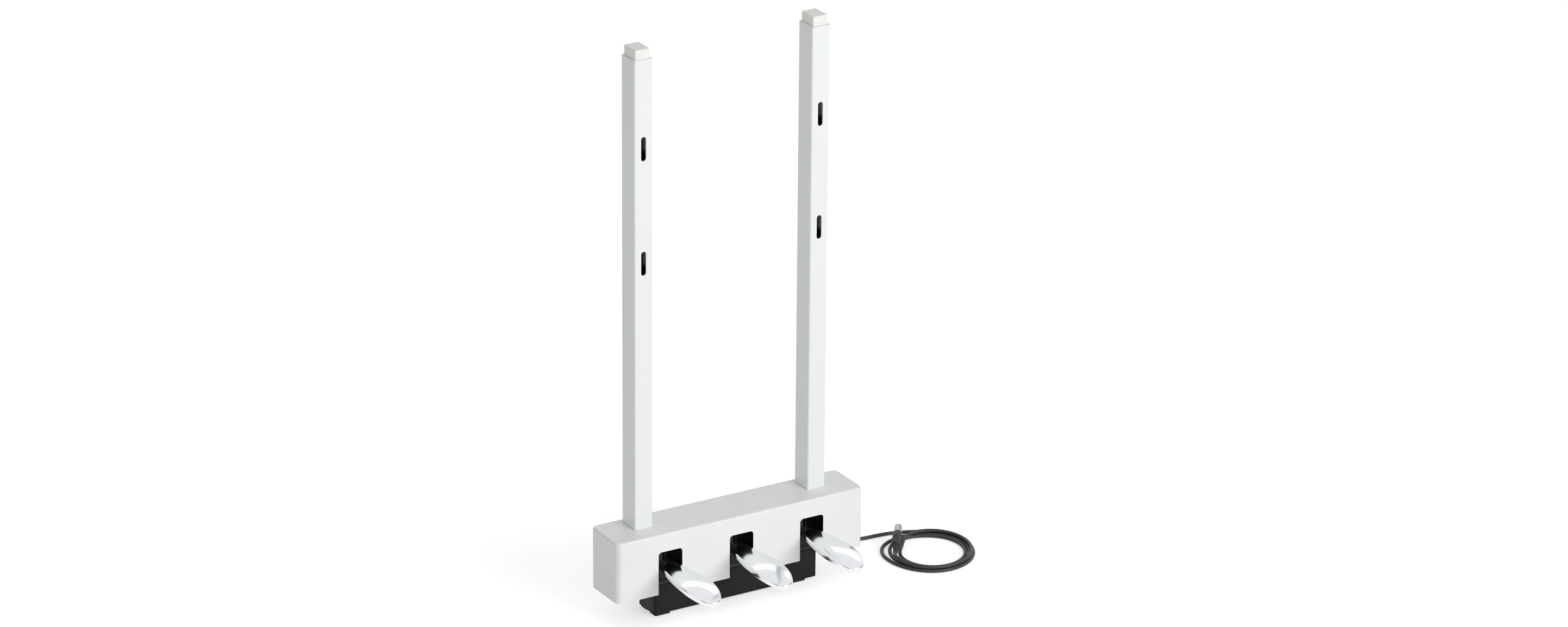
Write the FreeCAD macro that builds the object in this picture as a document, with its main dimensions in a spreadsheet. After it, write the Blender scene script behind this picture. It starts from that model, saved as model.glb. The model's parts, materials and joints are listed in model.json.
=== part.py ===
import FreeCAD, Part
import math
import os
import re

import Sketcher

# A three-pedal unit that hangs below a keyboard instrument: a long box holds three foot pedals on a
# steel chassis, a low base carries it on the floor, two slotted square tubes bolt it to the stand,
# and a cord leaves the back of the box, lies in a coil on the floor and ends in a round plug.
# Millimetres; +Z is up, -Y is the side the player sits on, and the origin is on the floor, midway
# along the box and midway between the toes of the pedals and the back of the unit.

# ---------------------------------------------------------------- driving dimensions
SIZES = {
    # pedal box
    "box_width": 308.0,
    "box_depth": 58.0,
    "box_height": 70.0,
    "box_lift": 31.0,             # underside of the box above the floor
    "box_wall": 2.8,
    "box_corner": 7.0,            # upright corners
    "box_edge": 2.4,              # edge around the top
    "opening_width": 29.5,        # where a pedal comes out
    "opening_height": 49.3,       # above the underside of the box
    "opening_corner": 4.0,
    "boss_width": 8.0,
    "inner_boss_place": 60.0,     # bosses under the top, from the middle of the box
    "outer_boss_place": 134.0,
    # service opening and its cover on the back of the box
    "service_width": 150.0,
    "service_height": 40.0,
    "service_level": 64.0,        # middle of the opening above the floor
    "service_corner": 3.0,
    "cover_lap": 6.0,
    "cover_thickness": 1.5,
    # low base and its rubber feet
    "base_width": 204.0,
    "base_depth": 35.0,
    "base_setback": 11.0,         # front of the base behind the front of the box
    "base_top": 37.0,             # above the floor, a little way up inside the box
    "base_wall": 3.0,
    "base_corner": 3.0,
    "base_rib": 9.0,
    "rib_place": 44.0,            # screw ribs, from the middle
    "base_roof": 4.0,
    "foot_width": 19.0,
    "foot_depth": 13.0,
    "foot_show": 2.8,             # feet below the base
    "foot_sunk": 1.0,
    "foot_inset_left": 2.0,       # feet in from the ends of the base
    "foot_inset_right": 13.0,
    "foot_setback": 1.5,          # feet in from the front and the back of the base
    "foot_corner": 2.0,
    # folded steel chassis
    "chassis_width": 290.0,
    "chassis_sheet": 2.0,
    "chassis_setback": 12.0,
    "chassis_top": 92.0,          # upper side of the top flange above the floor
    "chassis_bend": 2.5,
    "passage_width": 18.0,        # hole in the web for the lead
    # uprights
    "upright_width": 22.0,
    "upright_depth": 28.0,
    "upright_length": 540.5,
    "upright_wall": 1.5,
    "upright_corner": 2.0,
    "upright_pitch": 216.0,
    "upright_setback": 23.5,      # front of the tubes behind the front of the box
    "upright_gap": 0.3,           # around a tube where it enters the box
    "bolt_slot_width": 6.0,
    "bolt_slot_length": 27.0,
    "bolt_slot_pitch": 128.5,
    "bolt_slot_drop": 98.5,       # middle of the upper slot below the top of the tube
    "upright_block_length": 34.0,
    "side_screw_rise": 11.0,      # screw into the block, above the box
    # caps on the uprights
    "cap_inset": 2.0,
    "cap_height": 11.0,
    "cap_corner": 1.6,
    "cap_edge": 1.0,
    "cap_spigot": 12.0,
    # pedals
    "pedal_pitch": 88.5,
    "pedal_reach": 96.0,          # toe in front of the box
    "pedal_width": 37.0,
    "pedal_thickness": 7.0,
    "pedal_level": 63.5,          # top of a pedal above the floor
    "pedal_droop": 6.0,           # the toe below the neck
    "droop_length": 46.0,
    "widest_place": 59.0,         # widest point of a pedal in front of the box
    "toe_radius": 12.0,
    "pedal_top_round": 3.0,
    "pedal_under_round": 1.6,
    "neck_width": 20.6,           # of a pedal where it leaves the box
    "lever_width": 12.0,
    "lever_start": 15.0,          # where the neck has become the lever, behind the front
    "hub_width": 14.0,
    "hub_diameter": 13.0,
    "pivot_setback": 43.0,
    "pivot_level": 60.0,
    "pedal_travel": 6.0,          # degrees
    "flag_height": 80.0,          # top of the sensor flag above the floor
    "flag_width": 9.0,
    "flag_thickness": 4.0,
    "magnet_diameter": 5.0,
    "magnet_length": 2.0,
    "magnet_drop": 3.5,           # middle of the magnet below the top of the flag
    # pedal bearings
    "pin_diameter": 6.0,
    "running_gap": 0.05,
    "bush_wall": 1.0,
    "bush_flange": 0.8,
    "bush_flange_width": 11.0,
    "side_play": 0.3,
    "pin_overhang": 2.2,          # of a pivot pin beyond its bracket
    "clip_width": 10.0,
    "clip_sheet": 0.8,
    "clip_bore": 5.0,
    "clip_gap": 3.4,
    # pedal brackets
    "bracket_sheet": 1.5,
    "bracket_front": 13.0,        # behind the front of the box
    "cheek_front": 27.0,
    "bridge_depth": 7.0,
    "bridge_level": 70.0,         # underside of the bridge above the floor
    "rivet_diameter": 3.2,
    "rivet_head": 5.0,
    "rivet_head_height": 1.2,
    "rivet_front": 23.3,
    "rivet_back": 44.0,
    # stops and springs
    "stop_gap": 0.3,
    "stop_width": 11.0,
    "down_stop_front": 14.0,
    "down_stop_depth": 6.5,
    "spring_place": 30.5,
    "spring_wire": 1.1,
    "spring_width": 8.0,          # middle of the wire
    "spring_turns": 4.5,
    # sensor board
    "board_width": 226.0,
    "board_height": 15.0,
    "board_thickness": 1.6,
    "board_level": 80.0,
    "spacer_length": 2.5,
    "spacer_width": 6.0,
    "board_screw_inner": 30.0,
    "board_screw_outer": 106.0,
    "sensor_width": 4.0,
    "sensor_height": 3.0,
    "sensor_depth": 1.4,
    "connector_width": 12.0,
    "connector_height": 7.0,
    "connector_depth": 5.0,
    # fasteners
    "small_screw": 3.0,
    "small_screw_head": 5.6,
    "small_screw_head_height": 1.5,
    "small_screw_clearance": 0.2,
    "cover_screw_length": 4.0,
    "box_screw_length": 7.0,
    "base_screw_length": 14.0,
    "recess_length": 3.0,
    "recess_width": 0.7,
    "recess_depth": 0.8,
    "upright_bolt": 6.0,
    "upright_bolt_head": 10.0,
    "upright_bolt_head_height": 4.0,
    "upright_bolt_length": 17.0,
    "side_screw": 5.0,
    "side_screw_head": 9.0,
    "side_screw_head_height": 2.6,
    "side_screw_length": 16.0,
    # cord, its gland and plug
    "cord_diameter": 4.2,
    "gland_place": 60.0,
    "gland_level": 52.0,
    "gland_neck": 8.0,
    "gland_collar": 13.0,
    "gland_collar_length": 2.0,
    "gland_inner_collar": 11.0,
    "gland_inner_length": 1.5,
    "boot_length": 14.0,
    "boot_root": 9.4,
    "boot_tip": 5.6,
    "lead_diameter": 2.4,
    "coil_radius": 56.0,
    "coil_across": 241.8,
    "coil_along": 23.8,
    "coil_height": 8.4,
    "coil_round": 3.4,
    "coil_hole_radius": 37.0,
    "coil_hole_across": 246.2,
    "coil_hole_along": 20.7,
    "entry_length": 20.0,         # straight end of the cord where it joins the coil
    "exit_length": 16.0,
    "plug_clearance": 0.5,        # between the plug and the turns it lies on
    "plug_across": 200.8,
    "plug_along": 24.4,
    "plug_level": 9.2,
    "plug_turn": 54.5,            # degrees from +X towards +Y
    "plug_tilt": 6.0,             # degrees up
    "relief_tip": 4.8,
    "relief_root": 7.2,
    "relief_length": 17.0,
    "handle_width": 10.6,
    "handle_length": 26.0,
    "handle_round": 1.6,
    "shell_width": 8.8,
    "shell_wall": 0.7,
    "shell_length": 14.0,
    "contact_width": 0.9,
    "contact_length": 6.0,
    "contact_circle": 4.6,
    "contact_count": 6,
}

# Places that follow from the driving dimensions, as formulas of their names.
PLACES = {
    "depth_overall": "pedal_reach + box_depth + cover_thickness + small_screw_head_height",
    "toe_front": "0 - depth_overall / 2",
    "box_front": "toe_front + pedal_reach",
    "box_back": "box_front + box_depth",
    "box_top": "box_lift + box_height",
    "cover_back": "box_back + cover_thickness",
    "base_front": "box_front + base_setback",
    "base_back": "base_front + base_depth",
    "web_front": "upright_front + upright_depth",
    "web_back": "web_front + chassis_sheet",
    "chassis_front": "box_front + chassis_setback",
    "chassis_floor": "base_top + chassis_sheet",
    "upright_front": "box_front + upright_setback",
    "upright_middle": "upright_front + upright_depth / 2",
    "upright_top": "chassis_top + upright_length",
    "block_width": "upright_width - 2 * upright_wall",
    "block_depth": "upright_depth - 2 * upright_wall",
    "pivot": "box_front + pivot_setback",
    "pedal_underside": "pedal_level - pedal_thickness",
    "droop_radius": "(droop_length ^ 2 + pedal_droop ^ 2) / (2 * pedal_droop)",
    "cheek_inside": "hub_width / 2 + bush_flange + side_play",
    "cheek_outside": "cheek_inside + bracket_sheet",
    "bracket_floor": "chassis_floor + bracket_sheet",
    "stop_front": "box_front + down_stop_front",
    "board_front": "web_front - spacer_length - board_thickness",
    "sensor_level": "flag_height - magnet_drop",
    "boot_end": "cover_back + gland_collar_length + boot_length",
}

SIDES = {"left": "0 - pedal_pitch", "centre": "0", "right": "pedal_pitch"}
UPRIGHTS = {"left": "0 - upright_pitch / 2", "right": "upright_pitch / 2"}

# Route of the cord from the gland to the coil.
CORD_ROUTE = [
    (60.0, 93.0, 52.0),
    (60.0, 113.5, 52.0),
    (73.0, 129.0, 46.0),
    (93.0, 134.5, 35.5),
    (113.0, 130.0, 21.5),
    (132.0, 118.0, 9.5),
    (153.0, 104.5, 3.0),
    (176.0, 93.6, 2.4),
    (199.0, 87.8, 2.3),
    (215.0, 87.4, 2.3),
    (229.5, 85.8, 2.3),
    (243.5, 82.2, 2.3),
]

# Route of the lead inside the box, from the gland to the connector on the board.
LEAD_ROUTE = [
    (60.0, 74.0, 52.0),
    (60.0, 67.5, 52.0),
    (60.0, 61.0, 56.5),
    (60.0, 60.2, 64.0),
    (60.0, 62.4, 70.5),
    (60.0, 62.4, 76.5),
]

doc = FreeCAD.newDocument("pedal_unit")
sheet = doc.addObject("Spreadsheet::Sheet", "Sizes")
subparts = []


# ---------------------------------------------------------------- sizes and formulas
def fill_sheet():
    """Write every driving dimension into its own row, with its name as the alias."""
    for row, (name, value) in enumerate(SIZES.items(), start=1):
        sheet.set("A%d" % row, name)
        sheet.set("B%d" % row, str(value))
        sheet.setAlias("B%d" % row, name)
    doc.recompute()


def formula(text):
    """Turn a formula of size and place names into an expression on the spreadsheet's cells."""
    def spell(match):
        word = match.group(0)
        if word in SIZES:
            return "Sizes." + word
        if word in PLACES:
            return "(" + formula(PLACES[word]) + ")"
        return word
    return re.sub(r"[a-z][a-z_]*", spell, text)


def number(text):
    """The value of a formula in millimetres or degrees."""
    value = sheet.evalExpression(formula(text))
    return float(getattr(value, "Value", value))


def keep(piece, name):
    """Name a finished sub-part, so that it is written to a file of that name."""
    piece.Label = name
    subparts.append(piece)
    return piece


# ---------------------------------------------------------------- sketches
def new_body(name):
    """An empty body, kept as a sub-part."""
    return keep(doc.addObject("PartDesign::Body", name), name)


def sketch_on(body, view, place="0"):
    """A sketch on a plane of its body: plan at a height, front at a depth, or side at a width."""
    role = {"plan": "XY_Plane", "front": "XZ_Plane", "side": "YZ_Plane"}[view]
    planes = [item for item in body.Origin.OriginFeatures if item.Role == role]
    sketch = body.newObject("Sketcher::SketchObject", body.Name + "_sketch")
    sketch.AttachmentSupport = (planes[0], [""])
    sketch.MapMode = "FlatFace"
    offset = "0 - (%s)" % place if view == "front" else place
    sketch.setExpression("AttachmentOffset.Base.z", formula(offset))
    return sketch


def pin(sketch, geometry, end, across, up):
    """Hold one point of a sketch at a place given by two formulas."""
    for kind, text in (("DistanceX", across), ("DistanceY", up)):
        constraint = Sketcher.Constraint(kind, -1, 1, geometry, end, number(text))
        index = sketch.addConstraint(constraint)
        sketch.setExpression("Constraints[%d]" % index, formula(text))


def arc_between(start, end, radius, left):
    """Arc from start to end that turns left or right, as a counter-clockwise piece of a circle."""
    middle = (start + end) * 0.5
    chord = end - start
    normal = FreeCAD.Vector(-chord.y, chord.x, 0) * (1 if left else -1)
    rise = math.sqrt(max(radius ** 2 - (chord.Length / 2) ** 2, 0))
    centre = middle + normal.normalize() * rise
    first, last = (start, end) if left else (end, start)
    angles = [math.atan2(point.y - centre.y, point.x - centre.x) for point in (first, last)]
    circle = Part.Circle(centre, FreeCAD.Vector(0, 0, 1), radius)
    return Part.ArcOfCircle(circle, angles[0], angles[1])


def outline(sketch, stations):
    """Closed outline through stations (across, up) or (across, up, radius, "left" or "right")."""
    points = [FreeCAD.Vector(number(item[0]), number(item[1]), 0) for item in stations]
    ends = []
    for index, station in enumerate(stations):
        start = points[index]
        end = points[(index + 1) % len(points)]
        if len(station) == 2:
            geometry = sketch.addGeometry(Part.LineSegment(start, end), False)
            ends.append((geometry, 1, 2))
        else:
            left = station[3] == "left"
            arc = arc_between(start, end, number(station[2]), left)
            geometry = sketch.addGeometry(arc, False)
            ends.append((geometry, 1, 2) if left else (geometry, 2, 1))
            radius = sketch.addConstraint(
                Sketcher.Constraint("Radius", geometry, number(station[2])))
            sketch.setExpression("Constraints[%d]" % radius, formula(station[2]))
    for index, station in enumerate(stations):
        geometry, first, _ = ends[index]
        before, _, last = ends[index - 1]
        sketch.addConstraint(Sketcher.Constraint("Coincident", before, last, geometry, first))
        pin(sketch, geometry, first, station[0], station[1])


def rectangle(sketch, across, up, width, height):
    """Rectangle about a middle point; all four sizes are formulas."""
    left, right = "(%s) - (%s) / 2" % (across, width), "(%s) + (%s) / 2" % (across, width)
    low, high = "(%s) - (%s) / 2" % (up, height), "(%s) + (%s) / 2" % (up, height)
    outline(sketch, [(left, low), (right, low), (right, high), (left, high)])


def circle(sketch, across, up, diameter):
    """Circle about a point; all three sizes are formulas."""
    centre = FreeCAD.Vector(number(across), number(up), 0)
    shape = Part.Circle(centre, FreeCAD.Vector(0, 0, 1), number(diameter) / 2)
    geometry = sketch.addGeometry(shape, False)
    pin(sketch, geometry, 3, across, up)
    index = sketch.addConstraint(Sketcher.Constraint("Diameter", geometry, number(diameter)))
    sketch.setExpression("Constraints[%d]" % index, formula(diameter))


def long_slot(sketch, across, up, width, length):
    """Upright slot with round ends about a middle point; all four sizes are formulas."""
    left, right = "(%s) - (%s) / 2" % (across, width), "(%s) + (%s) / 2" % (across, width)
    low = "(%s) - (%s - %s) / 2" % (up, length, width)
    high = "(%s) + (%s - %s) / 2" % (up, length, width)
    corners = [(right, low), (right, high), (left, high), (left, low)]
    points = [FreeCAD.Vector(number(x), number(y), 0) for x, y in corners]
    radius = number(width) / 2
    pieces = [Part.LineSegment(points[0], points[1]),
              arc_between(points[1], points[2], radius, True),
              Part.LineSegment(points[2], points[3]),
              arc_between(points[3], points[0], radius, True)]
    names = [sketch.addGeometry(piece, False) for piece in pieces]
    for index, corner in enumerate(corners):
        sketch.addConstraint(
            Sketcher.Constraint("Coincident", names[index - 1], 2, names[index], 1))
        pin(sketch, names[index], 1, corner[0], corner[1])
    for geometry, text in ((names[1], high), (names[3], low)):
        level = Sketcher.Constraint("DistanceY", -1, 1, geometry, 3, number(text))
        index = sketch.addConstraint(level)
        sketch.setExpression("Constraints[%d]" % index, formula(text))


# ---------------------------------------------------------------- features
def pad(body, sketch, length, backwards=False, both_ways=False):
    """Thicken a sketch along its normal, against it, or half of the length each way."""
    feature = body.newObject("PartDesign::Pad", body.Name + "_pad")
    feature.Profile = sketch
    feature.setExpression("Length", formula(length))
    feature.Reversed = backwards
    feature.SideType = "Symmetric" if both_ways else "One side"
    doc.recompute()
    return feature


def pocket(body, sketch, depth, backwards=False, both_ways=False):
    """Cut a sketch out of the body, and make sure that the cut removed something."""
    before = body.Shape.Volume
    feature = body.newObject("PartDesign::Pocket", body.Name + "_pocket")
    feature.Profile = sketch
    feature.setExpression("Length", formula(depth))
    feature.Reversed = backwards
    feature.SideType = "Symmetric" if both_ways else "One side"
    doc.recompute()
    if body.Shape.Volume > before - 0.01:
        raise RuntimeError(feature.Name + " cuts nothing")
    return feature


def edges(feature, along=None, x=None, y=None, z=None):
    """Names of the edges that run along an axis and whose two ends lie at the given places."""
    names = []
    wanted = [(axis, number(text)) for axis, text in enumerate((x, y, z)) if text is not None]
    for index, edge in enumerate(feature.Shape.Edges, start=1):
        ends = [vertex.Point for vertex in (edge.Vertexes[0], edge.Vertexes[-1])]
        step = ends[1] - ends[0]
        others = [abs(step[axis]) for axis in range(3) if axis != "xyz".find(along or "x")]
        if along and (max(others) > 1e-4 or step.Length < 1e-4):
            continue
        if all(abs(end[axis] - value) < 1e-3 for axis, value in wanted for end in ends):
            names.append("Edge%d" % index)
    return names


def round_edges(body, base, names, radius, kind="PartDesign::Fillet"):
    """Round or chamfer named edges of the last feature of a body."""
    if not names:
        raise RuntimeError(body.Name + " has no edge to round here")
    feature = body.newObject(kind, body.Name + "_edge")
    feature.Base = (base, names)
    size = "Size" if kind == "PartDesign::Chamfer" else "Radius"
    feature.setExpression(size, formula(radius))
    doc.recompute()
    return feature


def place_along(piece, start, direction):
    """Set a piece that was made upright at the origin on a start point, along a direction."""
    turn = FreeCAD.Rotation(FreeCAD.Vector(0, 0, 1), direction)
    piece.Placement = FreeCAD.Placement(start, turn)
    return piece


def cylinder(name, diameter, length, start, direction=FreeCAD.Vector(0, 0, 1)):
    """Round bar from a start point along a direction; its sizes are formulas."""
    piece = doc.addObject("Part::Cylinder", name)
    piece.setExpression("Radius", formula("(%s) / 2" % diameter))
    piece.setExpression("Height", formula(length))
    return place_along(piece, start, direction)


def cone(name, root, tip, length, start, direction):
    """Tapered bar from its root to its tip; its sizes are formulas."""
    piece = doc.addObject("Part::Cone", name)
    piece.setExpression("Radius1", formula("(%s) / 2" % root))
    piece.setExpression("Radius2", formula("(%s) / 2" % tip))
    piece.setExpression("Height", formula(length))
    return place_along(piece, start, direction)


def joined(name, pieces):
    """Several touching objects as one solid."""
    union = doc.addObject("Part::MultiFuse", name)
    union.Shapes = pieces
    union.Refine = True
    return union


def cut(name, base, tool):
    """One object less another."""
    rest = doc.addObject("Part::Cut", name)
    rest.Base = base
    rest.Tool = tool
    return rest


# ---------------------------------------------------------------- pedal box
def pedal_box():
    """Moulded box, open below, with three pedal openings, two tube holes and a service opening."""
    body = new_body("pedal_box")
    plan = sketch_on(body, "plan", "box_lift")
    rectangle(plan, "0", "(box_front + box_back) / 2", "box_width", "box_depth")
    block = pad(body, plan, "box_height")
    corners = round_edges(body, block, edges(block, along="z"), "box_corner")
    rim = [name for name in edges(corners, z="box_top")]
    round_edges(body, corners, rim, "box_edge")

    inside = sketch_on(body, "plan", "box_lift")
    rectangle(inside, "0", "(box_front + box_back) / 2",
              "box_width - 2 * box_wall", "box_depth - 2 * box_wall")
    hollow = pocket(body, inside, "box_height - box_wall", backwards=True)
    inner = []
    for x in ("box_width / 2 - box_wall", "box_wall - box_width / 2"):
        inner += edges(hollow, along="z", x=x)
    round_edges(body, hollow, inner, "box_corner - box_wall")

    bosses = sketch_on(body, "plan", "chassis_top")
    for place in ("inner_boss_place", "outer_boss_place"):
        for sign in ("0 - ", "0 + "):
            circle(bosses, sign + place, "upright_middle", "boss_width")
            circle(bosses, sign + place, "upright_middle", "small_screw")
    pad(body, bosses, "box_top - box_wall - chassis_top")

    front = sketch_on(body, "front", "box_front")
    for x in SIDES.values():
        rectangle(front, x, "box_lift + opening_height / 2 - 1",
                  "opening_width", "opening_height + 2")
    slots = pocket(body, front, "box_wall + 1")
    round_edges(body, slots, edges(slots, along="y", z="box_lift + opening_height"),
                "opening_corner")

    top = sketch_on(body, "plan", "box_top")
    for x in UPRIGHTS.values():
        rectangle(top, x, "upright_middle",
                  "upright_width + 2 * upright_gap", "upright_depth + 2 * upright_gap")
    holes = pocket(body, top, "box_wall + 1")
    corners = []
    for x in UPRIGHTS.values():
        for sign in ("-", "+"):
            corners += edges(holes, along="z",
                             x="(%s) %s (upright_width / 2 + upright_gap)" % (x, sign))
    round_edges(body, holes, corners, "upright_corner + upright_gap")

    back = sketch_on(body, "front", "box_back")
    rectangle(back, "0", "service_level", "service_width", "service_height")
    for x, z in cover_screw_places():
        circle(back, x, z, "small_screw")
    pocket(body, back, "box_wall + 1", backwards=True)


def cover_screw_places():
    """The four corners of the rear cover, as formulas."""
    across = "(service_width + cover_lap) / 2"
    up = "service_height / 2 - cover_lap"
    return [("%s (%s)" % (side, across), "service_level %s (%s)" % (end, up))
            for side in ("0 -", "0 +") for end in ("-", "+")]


def rear_cover():
    """Plate screwed over the service opening, with a hole for the gland."""
    body = new_body("rear_cover")
    plate = sketch_on(body, "front", "box_back")
    rectangle(plate, "0", "service_level",
              "service_width + 2 * cover_lap", "service_height + 2 * cover_lap")
    circle(plate, "gland_place", "gland_level", "gland_neck")
    for x, z in cover_screw_places():
        circle(plate, x, z, "small_screw + 2 * small_screw_clearance")
    sheet_metal = pad(body, plate, "cover_thickness", backwards=True)
    corners = []
    for sign in ("-", "+"):
        corners += edges(sheet_metal, along="y",
                         x="0 %s (service_width / 2 + cover_lap)" % sign)
    round_edges(body, sheet_metal, corners, "service_corner")


# ---------------------------------------------------------------- base and feet
def floor_base():
    """Low moulded block that carries the unit, hollow below between screw ribs and foot pads."""
    body = new_body("floor_base")
    plan = sketch_on(body, "plan", "foot_show")
    rectangle(plan, "0", "base_front + base_depth / 2", "base_width", "base_depth")
    block = pad(body, plan, "base_top - foot_show")
    corners = round_edges(body, block, edges(block, along="z"), "base_corner")
    round_edges(body, corners, edges(corners, z="base_top"), "base_corner / 3",
                kind="PartDesign::Chamfer")

    cells = sketch_on(body, "plan", "foot_show")
    for side, sign in (("left", "0 -"), ("right", "0 +")):
        outer = "base_width / 2 - foot_inset_%s - foot_width - base_wall" % side
        middle = "(%s + rib_place + base_rib / 2) / 2" % outer
        rectangle(cells, "%s (%s)" % (sign, middle), "base_front + base_depth / 2",
                  "%s - rib_place - base_rib / 2" % outer, "base_depth - 2 * base_wall")
    rectangle(cells, "0", "base_front + base_depth / 2",
              "2 * rib_place - base_rib", "base_depth - 2 * base_wall")
    pocket(body, cells, "base_top - foot_show - base_roof", backwards=True)

    seats = sketch_on(body, "plan", "foot_show")
    for x, y in foot_places().values():
        rectangle(seats, x, y, "foot_width", "foot_depth")
    seated = pocket(body, seats, "foot_sunk", backwards=True)
    rims = []
    for side, sign in (("left", "0 -"), ("right", "0 +")):
        for inset in ("foot_inset_" + side, "foot_inset_%s + foot_width" % side):
            rims += edges(seated, along="z", x="%s (base_width / 2 - (%s))" % (sign, inset))
    round_edges(body, seated, rims, "foot_corner")

    drill = sketch_on(body, "plan", "base_top")
    for x, y in base_screw_places():
        circle(drill, x, y, "small_screw")
    pocket(body, drill, "base_screw_length")


def base_screw_places():
    """Four screws down into the ribs of the base, as formulas."""
    return [("%s rib_place" % side, "base_front + base_depth * %s" % share)
            for side in ("0 -", "0 +") for share in ("0.25", "0.75")]


def foot_places():
    """Middles of the four rubber feet by name, as formulas."""
    places = {}
    for side, sign in (("left", "0 -"), ("right", "0 +")):
        across = "%s (base_width / 2 - foot_inset_%s - foot_width / 2)" % (sign, side)
        places["front_" + side] = (across, "base_front + foot_setback + foot_depth / 2")
        places["back_" + side] = (across, "base_back - foot_setback - foot_depth / 2")
    return places


def foot(name, x, y):
    """Rubber pad under one corner of the base."""
    body = new_body("foot_" + name)
    plan = sketch_on(body, "plan", "0")
    rectangle(plan, x, y, "foot_width", "foot_depth")
    block = pad(body, plan, "foot_show + foot_sunk")
    round_edges(body, block, edges(block, along="z"), "foot_corner")


# ---------------------------------------------------------------- chassis and brackets
def chassis():
    """Folded steel channel that ties the base, the brackets, the uprights and the box together."""
    body = new_body("chassis")
    profile = sketch_on(body, "side")
    outline(profile, [
        ("chassis_front", "base_top"),
        ("web_back", "base_top"),
        ("web_back", "chassis_top"),
        ("chassis_front", "chassis_top"),
        ("chassis_front", "chassis_top - chassis_sheet"),
        ("web_front", "chassis_top - chassis_sheet"),
        ("web_front", "chassis_floor"),
        ("chassis_front", "chassis_floor"),
    ])
    channel = pad(body, profile, "chassis_width", both_ways=True)
    bends = (edges(channel, along="x", y="web_back", z="base_top")
             + edges(channel, along="x", y="web_back", z="chassis_top"))
    round_edges(body, channel, bends, "chassis_bend")

    lower = sketch_on(body, "plan", "chassis_floor")
    for x, y in base_screw_places():
        circle(lower, x, y, "small_screw + 2 * small_screw_clearance")
    for x in SIDES.values():
        for place in ("rivet_front", "rivet_back"):
            circle(lower, x, "box_front + " + place, "rivet_diameter")
    pocket(body, lower, "chassis_sheet")

    upper = sketch_on(body, "plan", "chassis_top")
    for x in UPRIGHTS.values():
        circle(upper, x, "upright_middle", "upright_bolt + 2 * small_screw_clearance")
    for place in ("inner_boss_place", "outer_boss_place"):
        for sign in ("0 - ", "0 + "):
            circle(upper, sign + place, "upright_middle",
                   "small_screw + 2 * small_screw_clearance")
    pocket(body, upper, "chassis_sheet")

    web = sketch_on(body, "front", "web_back")
    rectangle(web, "gland_place", "gland_level", "passage_width", "passage_width")
    for x, z in board_screw_places():
        circle(web, x, z, "small_screw")
    pocket(body, web, "chassis_sheet", backwards=True)


def bracket(side, x):
    """Folded cradle of one pedal: a floor, two cheeks with the pin's holes, and a bridge."""
    body = new_body("pedal_bracket_" + side)
    front = sketch_on(body, "front", "web_front")
    inside, outside = "cheek_inside", "cheek_outside"
    outline(front, [
        ("(%s) - %s" % (x, outside), "chassis_floor"),
        ("(%s) + %s" % (x, outside), "chassis_floor"),
        ("(%s) + %s" % (x, outside), "bridge_level + bracket_sheet"),
        ("(%s) - %s" % (x, outside), "bridge_level + bracket_sheet"),
    ])
    block = pad(body, front, "web_front - box_front - bracket_front")

    channel = sketch_on(body, "front", "web_front")
    rectangle(channel, x, "(bracket_floor + bridge_level) / 2",
              "2 * " + inside, "bridge_level - bracket_floor")
    pocket(body, channel, "web_front - box_front - bracket_front", backwards=True)

    trims = sketch_on(body, "side", x)
    outline(trims, [
        ("box_front + bracket_front", "bracket_floor"),
        ("box_front + cheek_front", "bracket_floor"),
        ("box_front + cheek_front", "bridge_level + bracket_sheet"),
        ("box_front + bracket_front", "bridge_level + bracket_sheet"),
    ])
    outline(trims, [
        ("box_front + cheek_front + bridge_depth", "bridge_level"),
        ("web_front", "bridge_level"),
        ("web_front", "bridge_level + bracket_sheet"),
        ("box_front + cheek_front + bridge_depth", "bridge_level + bracket_sheet"),
    ])
    circle(trims, "pivot", "pivot_level", "pin_diameter")
    pocket(body, trims, "2 * cheek_outside", both_ways=True)

    drill = sketch_on(body, "plan", "bracket_floor")
    for place in ("rivet_front", "rivet_back"):
        circle(drill, x, "box_front + " + place, "rivet_diameter")
    pocket(body, drill, "bracket_sheet")


# ---------------------------------------------------------------- uprights and caps
def upright(side, x):
    """Steel tube with two slots for the bolts that hold it to the stand."""
    body = new_body("upright_" + side)
    plan = sketch_on(body, "plan", "chassis_top")
    rectangle(plan, x, "upright_middle", "upright_width", "upright_depth")
    tube = pad(body, plan, "upright_length")
    round_edges(body, tube, edges(tube, along="z"), "upright_corner")
    bore = sketch_on(body, "plan", "upright_top")
    rectangle(bore, x, "upright_middle", "block_width", "block_depth")
    pocket(body, bore, "upright_length")
    slots = sketch_on(body, "front", "upright_front")
    upper = "upright_top - bolt_slot_drop"
    for z in (upper, upper + " - bolt_slot_pitch"):
        long_slot(slots, x, z, "bolt_slot_width", "bolt_slot_length")
    pocket(body, slots, "upright_depth")
    drill = sketch_on(body, "front", "web_front")
    circle(drill, x, "box_top + side_screw_rise", "side_screw")
    pocket(body, drill, "upright_wall", backwards=True)


def upright_block(side, x):
    """Steel block inside the foot of an upright, bored for the bolt below and the side screw."""
    body = new_body("upright_block_" + side)
    plan = sketch_on(body, "plan", "chassis_top")
    rectangle(plan, x, "upright_middle", "block_width", "block_depth")
    circle(plan, x, "upright_middle", "upright_bolt")
    pad(body, plan, "upright_block_length")
    drill = sketch_on(body, "front", "web_front - upright_wall")
    circle(drill, x, "box_top + side_screw_rise", "side_screw")
    pocket(body, drill, "side_screw_length - upright_wall", backwards=True)


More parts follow.
